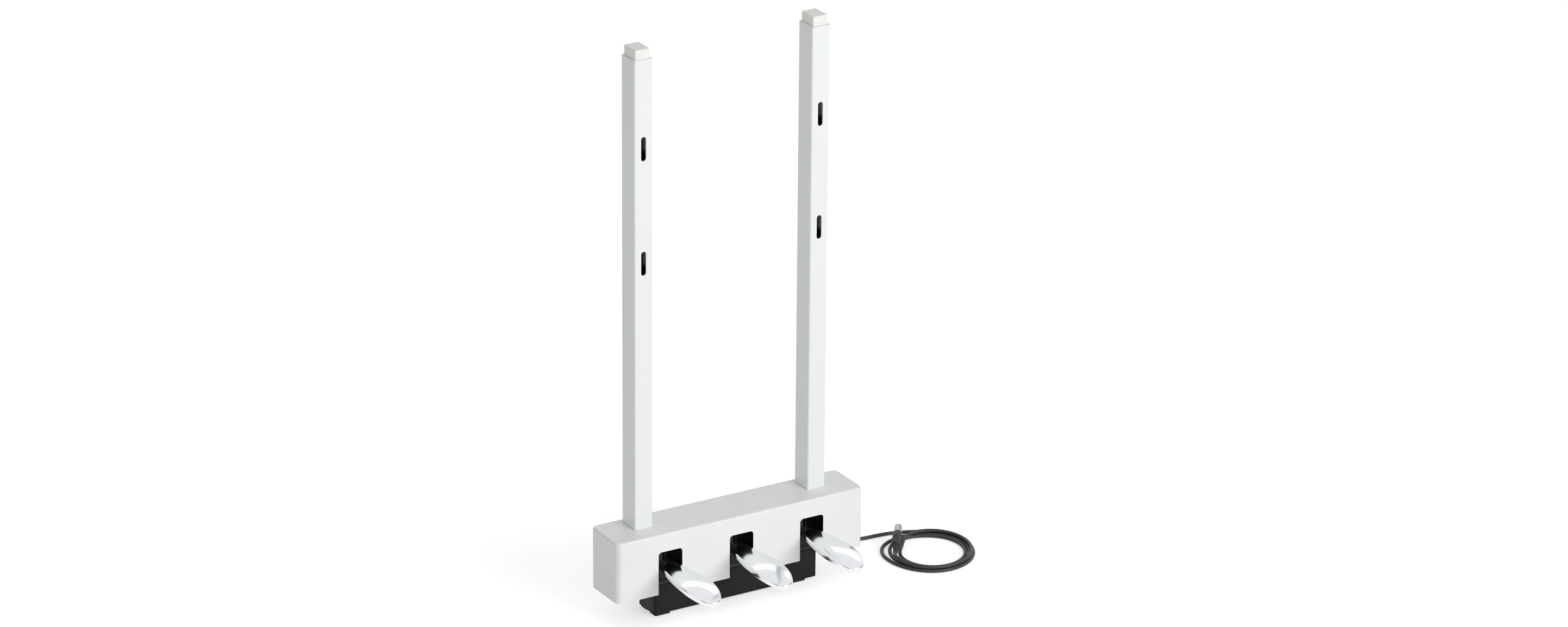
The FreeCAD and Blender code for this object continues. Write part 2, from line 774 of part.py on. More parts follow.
def cap(side, x):
    """Plastic cap on an upright: a low head and a spigot that fills the tube."""
    body = new_body("cap_" + side)
    plan = sketch_on(body, "plan", "upright_top")
    rectangle(plan, x, "upright_middle",
              "upright_width - 2 * cap_inset", "upright_depth - 2 * cap_inset")
    head = pad(body, plan, "cap_height")
    head = round_edges(body, head, edges(head, along="z"), "cap_corner")
    round_edges(body, head, edges(head, z="upright_top + cap_height"), "cap_edge")
    spigot = sketch_on(body, "plan", "upright_top")
    rectangle(spigot, x, "upright_middle", "block_width", "block_depth")
    pad(body, spigot, "cap_spigot", backwards=True)


# ---------------------------------------------------------------- pedals
def pedal(side, x):
    """Cast pedal: a leaf-shaped paddle, a neck, a lever, a bored hub and a flag for the sensor."""
    body = new_body("pedal_" + side)
    profile = sketch_on(body, "side", x)
    droop = "box_front - pedal_reach + droop_length"
    outline(profile, [
        ("toe_front", "pedal_level - pedal_droop", "droop_radius", "right"),
        (droop, "pedal_level"),
        ("pivot", "pedal_level"),
        ("pivot", "pedal_underside"),
        (droop, "pedal_underside", "droop_radius", "left"),
        ("toe_front", "pedal_underside - pedal_droop"),
    ])
    slab = pad(body, profile, "pedal_width", both_ways=True)

    plan = sketch_on(body, "plan", "pedal_level")
    trim_pedal(plan, x)
    trimmed = pocket(body, plan, "pedal_thickness + pedal_droop + 1")
    top = paddle_edges(trimmed, upper=True)
    rounded = round_edges(body, trimmed, top, "pedal_top_round")
    round_edges(body, rounded, paddle_edges(rounded, upper=False), "pedal_under_round")

    hub = sketch_on(body, "side", x)
    circle(hub, "pivot", "pivot_level", "hub_diameter")
    pad(body, hub, "hub_width", both_ways=True)
    flag = sketch_on(body, "side", x)
    rectangle(flag, "pivot - flag_thickness / 2 + 1", "(pivot_level + flag_height) / 2",
              "flag_thickness", "flag_height - pivot_level")
    pad(body, flag, "flag_width", both_ways=True)
    bore = sketch_on(body, "side", x)
    circle(bore, "pivot", "pivot_level", "pin_diameter + 2 * running_gap + 2 * bush_wall")
    pocket(body, bore, "hub_width", both_ways=True)
    seat = sketch_on(body, "front", "pivot + 1")
    circle(seat, x, "sensor_level", "magnet_diameter")
    pocket(body, seat, "magnet_length", backwards=True)


def trim_pedal(sketch, x):
    """Plan of the waste around a pedal: a wide frame with the leaf-shaped outline left inside."""
    half, reach = "pedal_width / 2", "(pedal_reach - widest_place)"
    side_radius = ("((%s) ^ 2 + %s ^ 2 - 2 * %s * toe_radius) / (2 * (%s - toe_radius))"
                   % (half, reach, reach, half))
    share = "toe_radius / ((%s) - toe_radius)" % side_radius
    toe_across = "(%s) * ((%s) - %s)" % (share, side_radius, half)
    toe_along = "toe_front + toe_radius - (%s) * (%s - toe_radius)" % (share, reach)
    swell = "(%s - neck_width / 2)" % half
    neck_radius = "(widest_place ^ 2 + %s ^ 2) / (2 * %s)" % (swell, swell)
    widest = "box_front - widest_place"
    left, right = "(%s) - " % x, "(%s) + " % x
    outline(sketch, [
        (right + "lever_width / 2", "pivot + hub_diameter"),
        (left + "lever_width / 2", "pivot + hub_diameter"),
        (left + "lever_width / 2", "box_front + lever_start"),
        (left + "neck_width / 2", "box_front", neck_radius, "left"),
        (left + half, widest, side_radius, "left"),
        (left + "(%s)" % toe_across, toe_along, "toe_radius", "left"),
        (right + "(%s)" % toe_across, toe_along, side_radius, "left"),
        (right + half, widest, neck_radius, "left"),
        (right + "neck_width / 2", "box_front"),
        (right + "lever_width / 2", "box_front + lever_start"),
    ])
    rectangle(sketch, x, "toe_front + (pivot + hub_diameter + 5 - toe_front) / 2 - 5",
              "pedal_width + 10", "pivot + hub_diameter + 15 - toe_front")


def paddle_edges(feature, upper):
    """Edges around the top or the underside of the paddle, in front of the box."""
    middle = number("pedal_level - pedal_thickness / 2")
    drop = number("pedal_droop")
    names = []
    for index, edge in enumerate(feature.Shape.Edges, start=1):
        box = edge.BoundBox
        centre = edge.valueAt((edge.FirstParameter + edge.LastParameter) / 2)
        outside = box.YMin < number("box_front") - 0.1 and box.XLength > 0.05
        across = abs(box.YLength) < 0.001
        along = (centre.y - number("toe_front")) / number("droop_length")
        centre_line = middle - drop * max(0.0, 1 - along) ** 2
        if outside and not across and (centre.z > centre_line) == upper:
            names.append("Edge%d" % index)
    return names


def bushes(side, x):
    """Pair of flanged plastic bushes, pressed into the two ends of a pedal's hub."""
    halves = []
    bore = "pin_diameter + 2 * running_gap"
    for end, sign in (("a", -1), ("b", 1)):
        middle = FreeCAD.Vector(number(x), number("pivot"), number("pivot_level"))
        face = middle + FreeCAD.Vector(sign * number("hub_width / 2"), 0, 0)
        tip = middle + FreeCAD.Vector(sign * number("hub_width / 2 + bush_flange"), 0, 0)
        outward = FreeCAD.Vector(sign, 0, 0)
        name = "bush_%s_%s" % (side, end)
        sleeve = cylinder(name + "_sleeve", bore + " + 2 * bush_wall", "hub_width / 2", middle,
                          outward)
        flange = cylinder(name + "_flange", "bush_flange_width", "bush_flange", face, outward)
        drill = cylinder(name + "_bore", bore, "hub_width / 2 + bush_flange", tip, outward * -1)
        halves.append(cut(name, joined(name + "_blank", [sleeve, flange]), drill))
    group = doc.addObject("Part::Compound", "pedal_bushes_" + side)
    group.Links = halves
    keep(group, "pedal_bushes_" + side)


def pivot_pin(side, x):
    """Steel pin through both cheeks, with a groove for a clip at each end."""
    length = "2 * (cheek_outside + pin_overhang)"
    middle = FreeCAD.Vector(number(x), number("pivot"), number("pivot_level"))
    half = FreeCAD.Vector(number(length) / 2, 0, 0)
    across = FreeCAD.Vector(1, 0, 0)
    bar = cylinder("pin_bar_" + side, "pin_diameter", length, middle - half, across)
    groove = cylinder("pin_groove_" + side, "pin_diameter", "clip_sheet", middle, across)
    core = cylinder("pin_core_" + side, "clip_bore", "clip_sheet", middle, across)
    ring = cut("pin_ring_" + side, groove, core)
    first = number("cheek_outside + side_play")
    rings = []
    for index, start in enumerate((first, -first - number("clip_sheet"))):
        copy = doc.addObject("Part::Feature", "pin_ring_%s_%d" % (side, index))
        doc.recompute()
        copy.Shape = ring.Shape.copy()
        copy.Placement = FreeCAD.Placement(FreeCAD.Vector(start, 0, 0), FreeCAD.Rotation())
        rings.append(copy)
    keep(cut("pivot_pin_" + side, bar, joined("pin_rings_" + side, rings)), "pivot_pin_" + side)


# ---------------------------------------------------------------- stops, springs and sensors
def up_stop(side, x):
    """Felt pad under the bridge that a pedal rests against."""
    body = new_body("up_stop_" + side)
    plan = sketch_on(body, "plan", "bridge_level")
    rectangle(plan, x, "box_front + cheek_front + bridge_depth / 2", "stop_width", "bridge_depth")
    pad(body, plan, "bridge_level - pedal_level - stop_gap", backwards=True)


def down_stop(side, x):
    """Rubber block on the bracket's floor that a fully pressed pedal meets."""
    body = new_body("down_stop_" + side)
    plan = sketch_on(body, "plan", "bracket_floor")
    rectangle(plan, x, "stop_front + down_stop_depth / 2", "stop_width", "down_stop_depth")
    pressed = ("pivot_level - (pivot - stop_front) * sin(pedal_travel)"
               " - (pivot_level - pedal_underside) * cos(pedal_travel)")
    block = pad(body, plan, "%s - stop_gap - bracket_floor" % pressed)
    round_edges(body, block, edges(block, along="z"), "foot_corner / 2")


def return_spring(side, x):
    """Compression spring between the bracket's floor and the underside of a lever."""
    floor = number("bracket_floor") + number("spring_wire / 2 + stop_gap / 3")
    height = number("pedal_underside - bracket_floor - spring_wire - stop_gap")
    helix = doc.addObject("Part::Helix", "spring_path_" + side)
    helix.setExpression("Radius", formula("spring_width / 2"))
    helix.Pitch = height / number("spring_turns")
    helix.Height = height
    helix.Placement.Base = FreeCAD.Vector(number(x), number("box_front + spring_place"), floor)
    wire = doc.addObject("Part::Circle", "spring_wire_" + side)
    wire.setExpression("Radius", formula("spring_wire / 2"))
    start = helix.Placement.Base + FreeCAD.Vector(number("spring_width / 2"), 0, 0)
    wire.Placement = FreeCAD.Placement(start, FreeCAD.Rotation(FreeCAD.Vector(1, 0, 0), 90))
    spring = doc.addObject("Part::Sweep", "return_spring_" + side)
    spring.Sections = [wire]
    spring.Spine = (helix, [])
    spring.Solid = True
    spring.Frenet = True
    keep(spring, "return_spring_" + side)


def magnet(side, x):
    """Disc magnet sunk into the back of a pedal's flag."""
    start = FreeCAD.Vector(number(x), number("pivot + 1 - magnet_length"), number("sensor_level"))
    disc = cylinder("sensor_magnet_" + side, "magnet_diameter", "magnet_length", start,
                    FreeCAD.Vector(0, 1, 0))
    keep(disc, "sensor_magnet_" + side)


def board_screw_places():
    """Four screws through the sensor board, as formulas."""
    return [("%s %s" % (side, place), "board_level")
            for side in ("0 -", "0 +") for place in ("board_screw_inner", "board_screw_outer")]


def sensor_board():
    """Long printed board that stands in front of the chassis web."""
    body = new_body("sensor_board")
    front = sketch_on(body, "front", "board_front")
    rectangle(front, "0", "board_level", "board_width", "board_height")
    for x, z in board_screw_places():
        circle(front, x, z, "small_screw + 2 * small_screw_clearance")
    pad(body, front, "board_thickness", backwards=True)


def board_pieces():
    """Spacers behind the board, and the three sensors and the connector on its face."""
    spacers = []
    for index, (x, z) in enumerate(board_screw_places()):
        start = FreeCAD.Vector(number(x), number("board_front + board_thickness"), number(z))
        back = FreeCAD.Vector(0, 1, 0)
        sleeve = cylinder("spacer_sleeve_%d" % index, "spacer_width", "spacer_length", start, back)
        bore = cylinder("spacer_bore_%d" % index, "small_screw", "spacer_length", start, back)
        spacers.append(cut("spacer_%d" % index, sleeve, bore))
    group = doc.addObject("Part::Compound", "board_spacers")
    group.Links = spacers
    keep(group, "board_spacers")

    chips = []
    for side, x in SIDES.items():
        chips.append(block_on_board("sensor_chip_" + side, x, "sensor_level",
                                    "sensor_width", "sensor_depth", "sensor_height"))
    group = doc.addObject("Part::Compound", "pedal_sensors")
    group.Links = chips
    keep(group, "pedal_sensors")
    keep(block_on_board("board_connector", "gland_place", "board_level",
                        "connector_width", "connector_depth", "connector_height"),
         "board_connector")


def block_on_board(name, x, z, width, depth, height):
    """Rectangular component on the front face of the board, about a middle point."""
    block = doc.addObject("Part::Box", name)
    block.setExpression("Length", formula(width))
    block.setExpression("Width", formula(depth))
    block.setExpression("Height", formula(height))
    block.setExpression("Placement.Base.x", formula("(%s) - %s / 2" % (x, width)))
    block.setExpression("Placement.Base.y", formula("board_front - %s" % depth))
    block.setExpression("Placement.Base.z", formula("(%s) - %s / 2" % (z, height)))
    return block


# ---------------------------------------------------------------- fasteners
def fastener(kind, length):
    """One screw, bolt or rivet about the origin: its head stands up from Z = 0, its shank hangs."""
    diameters = {"screw": ("small_screw", "small_screw_head", "small_screw_head_height"),
                 "side_screw": ("side_screw", "side_screw_head", "side_screw_head_height"),
                 "bolt": ("upright_bolt", "upright_bolt_head", "upright_bolt_head_height"),
                 "rivet": ("rivet_diameter", "rivet_head", "rivet_head_height")}
    shank_width, head_width, head_height = [number(text) for text in diameters[kind]]
    down = FreeCAD.Vector(0, 0, -1)
    shank = Part.makeCylinder(shank_width / 2, length, FreeCAD.Vector(), down)
    if kind == "bolt":
        corner = FreeCAD.Vector(head_width / math.sqrt(3), 0, 0)
        turns = [FreeCAD.Rotation(FreeCAD.Vector(0, 0, 1), 60 * step) for step in range(7)]
        rim = Part.makePolygon([turn.multVec(corner) for turn in turns])
        head = Part.Face(rim).extrude(FreeCAD.Vector(0, 0, head_height))
        return head.fuse(shank).removeSplitter()
    head = Part.makeCylinder(head_width / 2, head_height)
    rim = [edge for edge in head.Edges if edge.BoundBox.ZMin > head_height - 0.001]
    head = head.makeFillet(head_height * 0.6, [rim[0]])
    screw = head.fuse(shank).removeSplitter()
    if kind == "rivet":
        return screw
    scale = shank_width / number("small_screw")
    reach, width, depth = [scale * number(text)
                           for text in ("recess_length", "recess_width", "recess_depth")]
    for size_x, size_y in ((reach, width), (width, reach)):
        corner = FreeCAD.Vector(-size_x / 2, -size_y / 2, head_height - depth)
        screw = screw.cut(Part.makeBox(size_x, size_y, depth, corner))
    return screw


def fastener_group(name, kind, length, heads, direction):
    """Identical fasteners as separate solids of one node, each with its head at a given point."""
    single = fastener(kind, number(length))
    turn = FreeCAD.Rotation(FreeCAD.Vector(0, 0, 1), direction)
    copies = []
    for texts in heads:
        copy = single.copy()
        place = FreeCAD.Vector(*[number(text) for text in texts])
        copy.Placement = FreeCAD.Placement(place, turn)
        copies.append(copy)
    group = doc.addObject("Part::Feature", name)
    group.Shape = Part.makeCompound(copies)
    keep(group, name)


def fasteners():
    """Every screw, bolt and rivet of the unit."""
    up, down = FreeCAD.Vector(0, 0, 1), FreeCAD.Vector(0, 0, -1)
    back, front = FreeCAD.Vector(0, 1, 0), FreeCAD.Vector(0, -1, 0)
    fastener_group("rear_cover_screws", "screw", "cover_screw_length",
                   [(x, "cover_back", z) for x, z in cover_screw_places()], back)
    fastener_group("base_screws", "screw", "base_screw_length + chassis_sheet",
                   [(x, y, "chassis_floor") for x, y in base_screw_places()], up)
    fastener_group("box_screws", "screw", "box_screw_length",
                   [(sign + place, "upright_middle", "chassis_top - chassis_sheet")
                    for place in ("inner_boss_place", "outer_boss_place")
                    for sign in ("0 - ", "0 + ")], down)
    fastener_group("board_screws", "screw", "board_thickness + spacer_length + chassis_sheet",
                   [(x, "board_front", z) for x, z in board_screw_places()], front)
    fastener_group("upright_bolts", "bolt", "upright_bolt_length",
                   [(x, "upright_middle", "chassis_top - chassis_sheet")
                    for x in UPRIGHTS.values()], down)
    fastener_group("upright_screws", "side_screw", "side_screw_length",
                   [(x, "web_front", "box_top + side_screw_rise")
                    for x in UPRIGHTS.values()], back)
    fastener_group("bracket_rivets", "rivet", "bracket_sheet + chassis_sheet",
                   [(x, "box_front + " + place, "bracket_floor")
                    for x in SIDES.values() for place in ("rivet_front", "rivet_back")], up)


def pin_clips():
    """Six open spring clips in the grooves of the pivot pins."""
    width, sheet_size = number("clip_width / 2"), number("clip_sheet")
    across = FreeCAD.Vector(1, 0, 0)
    copies = []
    for x in SIDES.values():
        for sign in (-1, 1):
            start = number(x) + sign * number("cheek_outside + side_play")
            start -= sheet_size if sign < 0 else 0
            centre = FreeCAD.Vector(start, number("pivot"), number("pivot_level"))
            ring = Part.makeCylinder(width, sheet_size, centre, across)
            ring = ring.cut(Part.makeCylinder(number("clip_bore / 2"), sheet_size, centre, across))
            gap = number("clip_gap")
            mouth = Part.makeBox(sheet_size, gap, width, centre - FreeCAD.Vector(0, gap / 2, width))
            copies.append(ring.cut(mouth))
    group = doc.addObject("Part::Feature", "pin_clips")
    group.Shape = Part.makeCompound(copies)
    keep(group, "pin_clips")


# ---------------------------------------------------------------- cord
def cord_gland():
    """Rubber grommet through the rear cover, with a tapering boot around the cord."""
    back = FreeCAD.Vector(0, 1, 0)

    def at(depth):
        return FreeCAD.Vector(number("gland_place"), number(depth), number("gland_level"))

    collar = cylinder("gland_collar", "gland_collar", "gland_collar_length", at("cover_back"), back)
    neck = cylinder("gland_neck", "gland_neck", "cover_thickness", at("box_back"), back)
    inner = cylinder("gland_inner", "gland_inner_collar", "gland_inner_length",
                     at("box_back - gland_inner_length"), back)
    boot = cone("gland_boot", "boot_root", "boot_tip", "boot_length",
                at("cover_back + gland_collar_length"), back)
    keep(joined("cord_gland", [inner, neck, collar, boot]), "cord_gland")


def route_pieces(points):
    """Straight runs joined by tangent arcs along a route; also gives the radius at each bend."""
    pieces, radii = [], []
    start = points[0]
    for before, corner, after in zip(points, points[1:], points[2:]):
        first, second = corner - before, after - corner
        half_turn = first.getAngle(second) / 2
        radius = 0.45 * min(first.Length, second.Length) / math.tan(half_turn)
        reach = radius * math.tan(half_turn)
        entry = corner - first.normalize() * reach
        leave = corner + second.normalize() * reach
        inward = (second - first).normalize()
        middle = corner + inward * radius * (1 / math.cos(half_turn) - 1)
        pieces.append(Part.LineSegment(start, entry).toShape())
        pieces.append(Part.Arc(entry, middle, leave).toShape())
        start = leave
        radii.append(radius)
    pieces.append(Part.LineSegment(start, points[-1]).toShape())
    return pieces, radii


def tube_along(name, route, diameter):
    """Plain round tube along a route, checked against its section times its length."""
    points = [FreeCAD.Vector(*point) for point in route]
    pieces, radii = route_pieces(points)
    spine = Part.Wire(pieces)
    ring = Part.Circle(points[0], points[1] - points[0], number(diameter) / 2).toShape()
    solid = spine.makePipeShell([Part.Wire(ring)], True, False)
    expected = math.pi * number(diameter) ** 2 / 4 * spine.Length
    if abs(solid.Volume / expected - 1) > 0.01:
        raise RuntimeError("%s has %.0f mm3 in place of %.0f" % (name, solid.Volume, expected))
    print(name, "length %.0f mm" % spine.Length, "radii",
          " ".join("%.1f" % radius for radius in radii))
    tube = doc.addObject("Part::Feature", name)
    tube.Shape = solid
    keep(tube, name)


def plug_axis():
    """Start point and direction of the plug, from its strain relief to its tip."""
    turn, tilt = math.radians(number("plug_turn")), math.radians(number("plug_tilt"))
    start = FreeCAD.Vector(number("plug_across"), number("plug_along"), number("plug_level"))
    direction = FreeCAD.Vector(math.cos(turn) * math.cos(tilt), math.sin(turn) * math.cos(tilt),
                               math.sin(tilt))
    return start, direction


def cord_coil():
    """Outer shape of the coil on the floor, with the two straight ends that enter and leave it."""
    up = FreeCAD.Vector(0, 0, 1)
    disc = cylinder("coil_disc", "2 * coil_radius", "coil_height",
                    FreeCAD.Vector(number("coil_across"), number("coil_along"), 0), up)
    hole = cylinder("coil_hole", "2 * coil_hole_radius", "coil_height",
                    FreeCAD.Vector(number("coil_hole_across"), number("coil_hole_along"), 0), up)
    ring = cut("coil_ring", disc, hole)
    doc.recompute()
    rounded = doc.addObject("Part::Fillet", "coil_rounded")
    rounded.Base = ring
    radius = number("coil_round")
    rounded.Edges = [(index, radius, radius)
                     for index, edge in enumerate(ring.Shape.Edges, start=1)
                     if edge.BoundBox.ZLength < 0.001]
    start, direction = plug_axis()
    room = cylinder("coil_plug_room", "handle_width + 2 * plug_clearance", "coil_radius", start,
                    direction)
    turns = cut("coil_turns", rounded, room)
    last, end = [FreeCAD.Vector(*point) for point in CORD_ROUTE[-2:]]
    entry = cylinder("coil_entry", "cord_diameter", "entry_length", end, end - last)
    leave = cylinder("coil_exit", "cord_diameter", "exit_length", start, direction * -1)
    keep(joined("cord_coil", [turns, entry, leave]), "cord_coil")


def plug():
    """Round multi-pin plug: moulded handle with its strain relief, metal shell and contacts."""
    start, direction = plug_axis()

    def along(text):
        return start + direction * number(text)

    relief = cone("plug_relief", "relief_tip", "relief_root", "relief_length", start, direction)
    handle = cylinder("plug_handle", "handle_width", "handle_length", along("relief_length"),
                      direction)
    doc.recompute()
    rounded = doc.addObject("Part::Fillet", "plug_handle_rounded")
    rounded.Base = handle
    radius = number("handle_round")
    rounded.Edges = [(index, radius, radius)
                     for index, edge in enumerate(handle.Shape.Edges, start=1) if edge.Closed]
    keep(joined("plug_body", [relief, rounded]), "plug_body")

    nose = "relief_length + handle_length"
    outer = cylinder("shell_outer", "shell_width", "shell_length", along(nose), direction)
    inner = cylinder("shell_inner", "shell_width - 2 * shell_wall", "shell_length", along(nose),
                     direction)
    keep(cut("plug_shell", outer, inner), "plug_shell")

    sideways = direction.cross(FreeCAD.Vector(0, 0, 1)).normalize()
    contacts = []
    for index in range(int(number("contact_count"))):
        turn = FreeCAD.Rotation(direction, 360.0 * index / number("contact_count"))
        root = along(nose) + turn.multVec(sideways * number("contact_circle / 2"))
        contacts.append(cylinder("contact_%d" % index, "contact_width", "contact_length", root,
                                 direction))
    group = doc.addObject("Part::Compound", "plug_contacts")
    group.Links = contacts
    keep(group, "plug_contacts")


# ---------------------------------------------------------------- assembly
def check_and_write():
    """Refuse a failed or broken object, then write every sub-part to its own file."""
    doc.recompute()
    for item in doc.Objects:
        if "Invalid" in item.State or "Error" in item.State:
            raise RuntimeError("%s failed: %s" % (item.Name, item.State))
    os.makedirs("parts", exist_ok=True)
    for piece in subparts:
        if piece.Shape.isNull() or not piece.Shape.isValid():
            raise RuntimeError("%s has no valid shape" % piece.Label)
    for piece in subparts:
        piece.Shape.exportStep("parts/%s.step" % piece.Label)
        print("%-24s %2d solid  %10.1f mm3" % (piece.Label, len(piece.Shape.Solids),
                                               piece.Shape.Volume))


def main():
    """Build the whole unit."""
    fill_sheet()
    pedal_box()
    rear_cover()
    floor_base()
    for name, (x, y) in foot_places().items():
        foot(name, x, y)
    chassis()
    for side, x in UPRIGHTS.items():
        upright(side, x)
        upright_block(side, x)
        cap(side, x)
    for side, x in SIDES.items():
        bracket(side, x)
        pivot_pin(side, x)
        pedal(side, x)
        bushes(side, x)
        magnet(side, x)
        up_stop(side, x)
        down_stop(side, x)
        return_spring(side, x)
    pin_clips()
    sensor_board()
    board_pieces()
    fasteners()
    cord_gland()
    tube_along("cord", CORD_ROUTE, "cord_diameter")
    tube_along("inner_lead", LEAD_ROUTE, "lead_diameter")
    cord_coil()
    plug()
    check_and_write()


main()
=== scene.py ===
import json
import math

import bmesh
import bpy
import numpy as np
from bpy.props import FloatProperty, FloatVectorProperty, IntProperty, PointerProperty
from mathutils import Matrix, Vector

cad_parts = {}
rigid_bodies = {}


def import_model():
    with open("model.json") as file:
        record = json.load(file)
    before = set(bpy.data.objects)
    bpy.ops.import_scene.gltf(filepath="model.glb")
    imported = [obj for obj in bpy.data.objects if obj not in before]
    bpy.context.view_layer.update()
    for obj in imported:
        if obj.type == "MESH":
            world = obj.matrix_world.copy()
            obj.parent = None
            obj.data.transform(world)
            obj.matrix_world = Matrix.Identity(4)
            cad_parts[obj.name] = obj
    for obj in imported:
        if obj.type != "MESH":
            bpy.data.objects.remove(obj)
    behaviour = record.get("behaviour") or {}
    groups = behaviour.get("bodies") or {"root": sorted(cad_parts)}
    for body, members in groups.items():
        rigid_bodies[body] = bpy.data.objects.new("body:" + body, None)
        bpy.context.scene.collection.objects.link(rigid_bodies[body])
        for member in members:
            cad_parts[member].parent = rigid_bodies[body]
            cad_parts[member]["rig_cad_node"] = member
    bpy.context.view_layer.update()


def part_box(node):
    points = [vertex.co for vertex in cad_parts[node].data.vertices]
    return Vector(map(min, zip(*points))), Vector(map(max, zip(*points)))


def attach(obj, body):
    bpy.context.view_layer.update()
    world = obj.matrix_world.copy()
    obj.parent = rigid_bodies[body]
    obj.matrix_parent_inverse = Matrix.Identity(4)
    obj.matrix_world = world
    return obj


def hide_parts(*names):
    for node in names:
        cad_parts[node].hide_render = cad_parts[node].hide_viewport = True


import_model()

bl_info = {
    "name": "Piano Pedal Unit",
    "version": (1, 0, 0),
    "blender": (4, 5, 0),
    "location": "3D View > Sidebar > Pedal Unit",
    "description": "Finishes, cord and studio for a three-pedal unit on two uprights",
    "category": "Object",
}

SIDES = ("left", "centre", "right")


def middle_of(name):
    """Middle of a CAD node's box."""
    low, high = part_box(name)
    return (low + high) / 2


# ---------------------------------------------------------------- settings
def tint(name, description, default):
    """A colour that a user may change, in linear light."""
    return FloatVectorProperty(
        name=name, description=description, default=default, size=3,
        subtype="COLOR", min=0, max=1
    )


def length(name, description, default):
    """A size in metres."""
    return FloatProperty(
        name=name, description=description, default=default, min=0, precision=5,
        subtype="DISTANCE", unit="LENGTH"
    )


def factor(name, description, default, top=1.0):
    """A plain number from 0 up to a limit."""
    return FloatProperty(name=name, description=description, default=default, min=0, max=top)


class PedalUnitFinishes(bpy.types.PropertyGroup):
    """Colours and surface grain of the unit."""

    housing: tint("Housing", "White moulding of the pedal box", (0.87, 0.885, 0.87))
    paint: tint("Upright paint", "Powder coat on the steel tubes", (0.86, 0.885, 0.88))
    cap: tint("Cap", "Warm white of the tube caps", (0.9, 0.895, 0.85))
    base: tint("Base", "Black moulding under the box", (0.013, 0.013, 0.014))
    rubber: tint("Rubber", "Feet, pads and strain reliefs", (0.016, 0.016, 0.017))
    # Also laid on the reveals of the pedal openings as painted shade.
    chassis: tint("Chassis", "Black paint inside the box", (0.013, 0.013, 0.014))
    chrome: tint("Chrome", "Plating of the pedals", (0.83, 0.84, 0.86))
    # Painted shade: a near black laid inside the tube bores, where shadow falls.
    bore_shade: tint("Bore shade", "Painted shade inside the tubes", (0.012, 0.012, 0.012))
    steel: tint("Steel", "Zinc plated pins, screws and springs", (0.52, 0.52, 0.53))
    nickel: tint("Nickel", "Plating of the plug shell", (0.36, 0.35, 0.34))
    brass: tint("Brass", "Gilt contacts of the plug", (0.74, 0.55, 0.22))
    nylon: tint("Nylon", "Bushes and spacers", (0.72, 0.70, 0.62))
    felt: tint("Felt", "Upper stops of the pedals", (0.05, 0.06, 0.05))
    board: tint("Board", "Solder mask of the sensor board", (0.012, 0.09, 0.03))
    sheath: tint("Cord", "Soft sheath of the cord", (0.028, 0.028, 0.031))
    crown: length("Pedal crown", "Rise of a pedal's top along its middle", 0.0024)
    moulded_grain: length("Moulded grain", "Width of the spark grain on mouldings", 0.0005)
    paint_grain: length("Paint grain", "Width of the ripples in powder coat", 0.0016)


class PedalUnitCord(bpy.types.PropertyGroup):
    """Sizes of the cord and its coil."""

    diameter: length("Diameter", "Across the sheath", 0.0042)
    real_length: length("Length", "From the boot to the plug", 1.32)
    coil_across: length("Coil across", "Half width of the inmost turn, to its middle", 0.03763)
    coil_along: length("Coil along", "Half depth of the inmost turn, to its middle", 0.04189)
    coil_turn: FloatProperty(
        name="Coil turned", description="Turn of the oval about Z",
        default=math.radians(-31.27), subtype="ANGLE", unit="ROTATION"
    )
    points_per_turn: IntProperty(
        name="Points per turn", description="Control points round one turn", default=18, min=12
    )


class PedalUnitStudio(bpy.types.PropertyGroup):
    """Floor, lights and camera."""

    floor_size: length("Floor", "Side of the floor", 60.0)
    floor_colour: tint("Floor colour", "Pale paper floor", (0.80, 0.80, 0.80))
    floor_lift: factor("Floor lift", "Glow of the floor as the camera sees it", 0.54, 4.0)
    key: factor("Key", "Power of the large front light in watts", 106.0, 5000.0)
    card: factor("Card", "Power of the light card behind in watts", 16.0, 5000.0)
    world: factor("Surround", "Strength of the light from all round", 0.475, 5.0)
    tent: factor("Tent", "Brightness of the white tent that shiny pieces mirror", 0.95, 5.0)
    lens: FloatProperty(
        name="Lens", description="Focal length in millimetres", default=136.04,
        subtype="DISTANCE_CAMERA"
    )


# ---------------------------------------------------------------- shader helpers
def shader(name, colour, roughness, metallic=0.0, **sockets):
    """New material whose Principled shader holds these plain values."""
    material = bpy.data.materials.new(name)
    material.use_nodes = True
    surface = material.node_tree.nodes["Principled BSDF"]
    surface.inputs["Base Color"].default_value = (*colour, 1.0)
    surface.inputs["Roughness"].default_value = roughness
    surface.inputs["Metallic"].default_value = metallic
    for socket, value in sockets.items():
        surface.inputs[socket.replace("_", " ")].default_value = value
    return material


def feed(material, place, value):
    """Links an input to a socket, or sets it to a plain value."""
    if isinstance(value, bpy.types.NodeSocket):
        material.node_tree.links.new(value, place)
    else:
        place.default_value = value


def node(material, kind, **inputs):
    """New shader node; inputs are numbers, colours or sockets, with underscores for spaces."""
    made = material.node_tree.nodes.new("ShaderNode" + kind)
    for socket, value in inputs.items():
        feed(material, made.inputs[socket.replace("_", " ")], value)
    return made


def surface_of(material):
    """Principled shader of a material."""
    return material.node_tree.nodes["Principled BSDF"]


def place_of(material, stretch=(1, 1, 1)):
    """Object coordinates of the piece, stretched along its axes."""
    where = node(material, "TexCoord").outputs["Object"]
    return node(material, "Mapping", Vector=where, Scale=stretch).outputs["Vector"]


def speckle(material, size, detail=3.0, stretch=(1, 1, 1)):
    """Value from 0 to 1 that varies over the given size in metres."""
    made = node(material, "TexNoise", Vector=place_of(material, stretch), Scale=1 / size,
                Detail=detail)
    return made.outputs["Fac"]


def between(material, value, low, high, start=0.3, stop=0.7):
    """Maps a value, as it goes from start to stop, onto the range from low to high."""
    made = node(material, "MapRange", Value=value, **{
        "From_Min": start, "From_Max": stop, "To_Min": low, "To_Max": high})
    return made.outputs["Result"]


